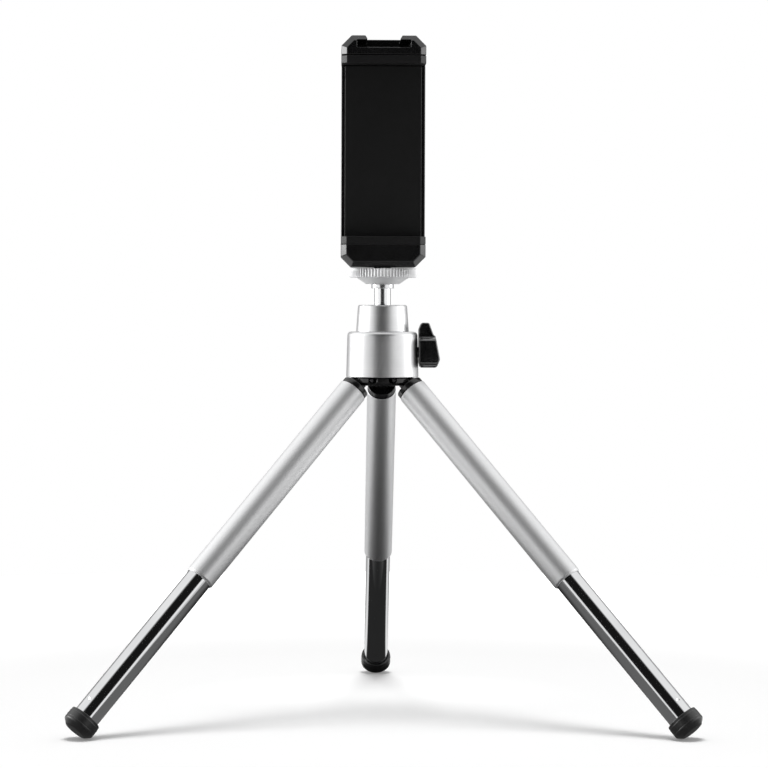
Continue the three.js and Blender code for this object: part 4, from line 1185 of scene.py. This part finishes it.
def make_card():
    """A graded card on the floor that only reflections show, as a studio's flag. It glows and nothing lights
    it, so it paints
    reflections on the metal: grey between the front feet, dark behind them, where the back leg reflects it,
    and pale elsewhere."""
    card, graph = stage_disc("painted_reflection_card", CARD_RADIUS, FLOOR_HEIGHT + CARD_ABOVE_FLOOR)
    calc, fade = graph.calc, graph.fade
    x, y, _ = graph.split(graph.add("TexCoord").outputs["Object"])
    aside = calc("ABSOLUTE", x)
    # A dark strip runs from front to back. Its half-width and its soft edge's width change twice.
    nearer = fade(y, 0, 0.035, 0, 1)
    behind = fade(y, 0.052, 0.064, 0, 1)
    half = calc("ADD", fade(y, 0, 0.035, 0.075, 0), calc("MULTIPLY", behind, 0.2))
    half = calc("ADD", half, fade(y, -0.1, -0.06, 0.06, 0))
    soft = calc("ADD", calc("ADD", 0.055, calc("MULTIPLY", nearer, 0.135)), calc("MULTIPLY", behind, -0.07))
    outside = fade(calc("DIVIDE", calc("SUBTRACT", aside, half), soft), 0, 1, 0, 1)
    # It ends behind the back foot, and far in front.
    light = calc("MAXIMUM", outside, fade(y, 0.087, 0.096, 0, 1))
    light = calc("MAXIMUM", light, fade(y, -0.3, -0.2, 1, 0))
    dark = fade(y, -0.075, 0.005, CARD_GREY, CARD_DARK)
    # The pale part is dimmer in front, the more so on the left, and far behind.
    ahead = fade(y, -0.12, -0.04, 1, 0)
    drop = calc("MULTIPLY", ahead, fade(x, -0.1, 0.05, CARD_LEFT_DROP, CARD_RIGHT_DROP))
    pale = calc("MULTIPLY", calc("SUBTRACT", CARD_LIGHT, drop), fade(y, 0.1, 0.2, 1, CARD_FAR))
    # It is brighter beside the feet, where the front legs' outer tubes reflect it.
    beside = calc("MULTIPLY", fade(y, -0.07, -0.03, 0, 1), fade(y, 0.045, 0.06, 1, 0))
    pale = calc("ADD", pale, calc("MULTIPLY", beside, fade(aside, 0.07, 0.11, 0, CARD_SIDE)))
    level = calc("ADD", dark, calc("MULTIPLY", light, calc("SUBTRACT", pale, dark)))
    glow = graph.add("Emission")
    graph.put(level, glow.inputs["Strength"])
    graph.output(glow)
    card.visible_camera = False
    card.visible_diffuse = False
    card.visible_transmission = False
    card.visible_shadow = False


AMBIENT = 0.36
LIGHT_LEVEL = 1.1
DARK_LEVEL = 0.01
BACK_LEVEL = 0.22


def make_world():
    """White all round, and for what reflects it, a dark studio in front of the object and a grey one
    behind it."""
    world = bpy.data.worlds.new("studio")
    bpy.context.scene.world = world
    world.use_nodes = True
    graph = Nodes(world.node_tree)
    calc, fade = graph.calc, graph.fade
    background = graph.add("Background")
    background.inputs["Color"].default_value = (1, 1, 1, 1)
    graph.output(background, "OutputWorld")
    x, y, z = graph.split(graph.add("TexCoord").outputs["Generated"])
    elevation = calc("MULTIPLY", calc("ARCSINE", z), 180 / math.pi)

    def zone(facing, centre, half_width, half_height, level, edge):
        """1 outside a rounded rectangle in azimuth and elevation, in degrees, and a level inside it."""
        azimuth = calc("MULTIPLY", calc("ARCTAN2", x, facing), 180 / math.pi)
        across = calc("DIVIDE", calc("SUBTRACT", azimuth, centre[0]), half_width)
        up = calc("DIVIDE", calc("SUBTRACT", elevation, centre[1]), half_height)
        sides = calc("POWER", calc("ABSOLUTE", across), 4)
        ends = calc("POWER", calc("ABSOLUTE", up), 4)
        reach = calc("POWER", calc("ADD", sides, ends), 0.25)
        return fade(reach, 1 - edge, 1 + edge, level, 1)

    # The front's dark zone is wider higher up.
    wide = fade(elevation, 0, 16, 24.5, 46)
    front = zone(calc("MULTIPLY", y, -1), (-1.5, 8), wide, 50, DARK_LEVEL, 0.15)
    back = zone(y, (0, 4), 47, 22, BACK_LEVEL, 0.5)
    path = graph.add("LightPath").outputs
    shiny = calc("MAXIMUM", path["Is Glossy Ray"], path["Is Transmission Ray"])
    studio = calc("MULTIPLY", calc("MULTIPLY", front, back), LIGHT_LEVEL)
    strength = calc("ADD", calc("MULTIPLY", shiny, studio), path["Is Camera Ray"])
    strength = calc("ADD", strength, calc("MULTIPLY", path["Is Diffuse Ray"], AMBIENT))
    graph.put(strength, background.inputs["Strength"])


def make_lamp(name, place, aim_height, size, radiance, reflected):
    """A soft rectangular lamp that the camera doesn't see. It only lights what shines, or what doesn't."""
    light = bpy.data.lights.new(name, "AREA")
    light.shape = "RECTANGLE"
    light.size, light.size_y = size
    light.energy = radiance * size[0] * size[1] * math.pi
    obj = add_object(name, light)
    obj.location = place
    aim = Vector((0, -0.03, aim_height))
    obj.rotation_euler = (aim - Vector(place)).to_track_quat("-Z", "Y").to_euler()
    obj.visible_camera = False
    obj.visible_diffuse = not reflected
    obj.visible_glossy = reflected


# The camera stands a little to the left of the front, and looks at the stem's axis.
CAMERA_LENS = 134.75
CAMERA_AZIMUTH = math.radians(-1.1)
CAMERA_DISTANCE = 0.9785
CAMERA_HEIGHT = 0.1405
CAMERA_ASIDE = 0.0005
CAMERA_DOWN = math.radians(1.58)
CAMERA_ROLL = math.radians(-0.2)


def make_camera():
    data = bpy.data.cameras.new("camera")
    data.lens = CAMERA_LENS
    data.sensor_width = 36
    data.clip_start = 0.05
    data.clip_end = 20
    camera = add_object("camera", data)
    camera.location = (
        math.sin(CAMERA_AZIMUTH) * CAMERA_DISTANCE + CAMERA_ASIDE,
        STEM.y * MM - math.cos(CAMERA_AZIMUTH) * CAMERA_DISTANCE,
        CAMERA_HEIGHT,
    )
    camera.rotation_euler = (math.radians(90) - CAMERA_DOWN, CAMERA_ROLL, CAMERA_AZIMUTH)
    bpy.context.scene.camera = camera


make_floor()
make_card()
make_world()
make_lamp("overhead", (0, -0.12, 1.24), 0, (0.45, 0.5), 14.7, reflected=False)
# The side boxes start at the clamp's height, so that its bevels reflect them and the barrel hardly does.
make_lamp("left_box", (-1.1, 0.07, 0.375), 0.375, (0.62, 0.45), 8.2, reflected=True)
make_lamp("right_box", (1.1, 0.07, 0.375), 0.375, (0.62, 0.45), 2.1, reflected=True)
make_camera()
bpy.context.scene.view_settings.view_transform = "Standard"
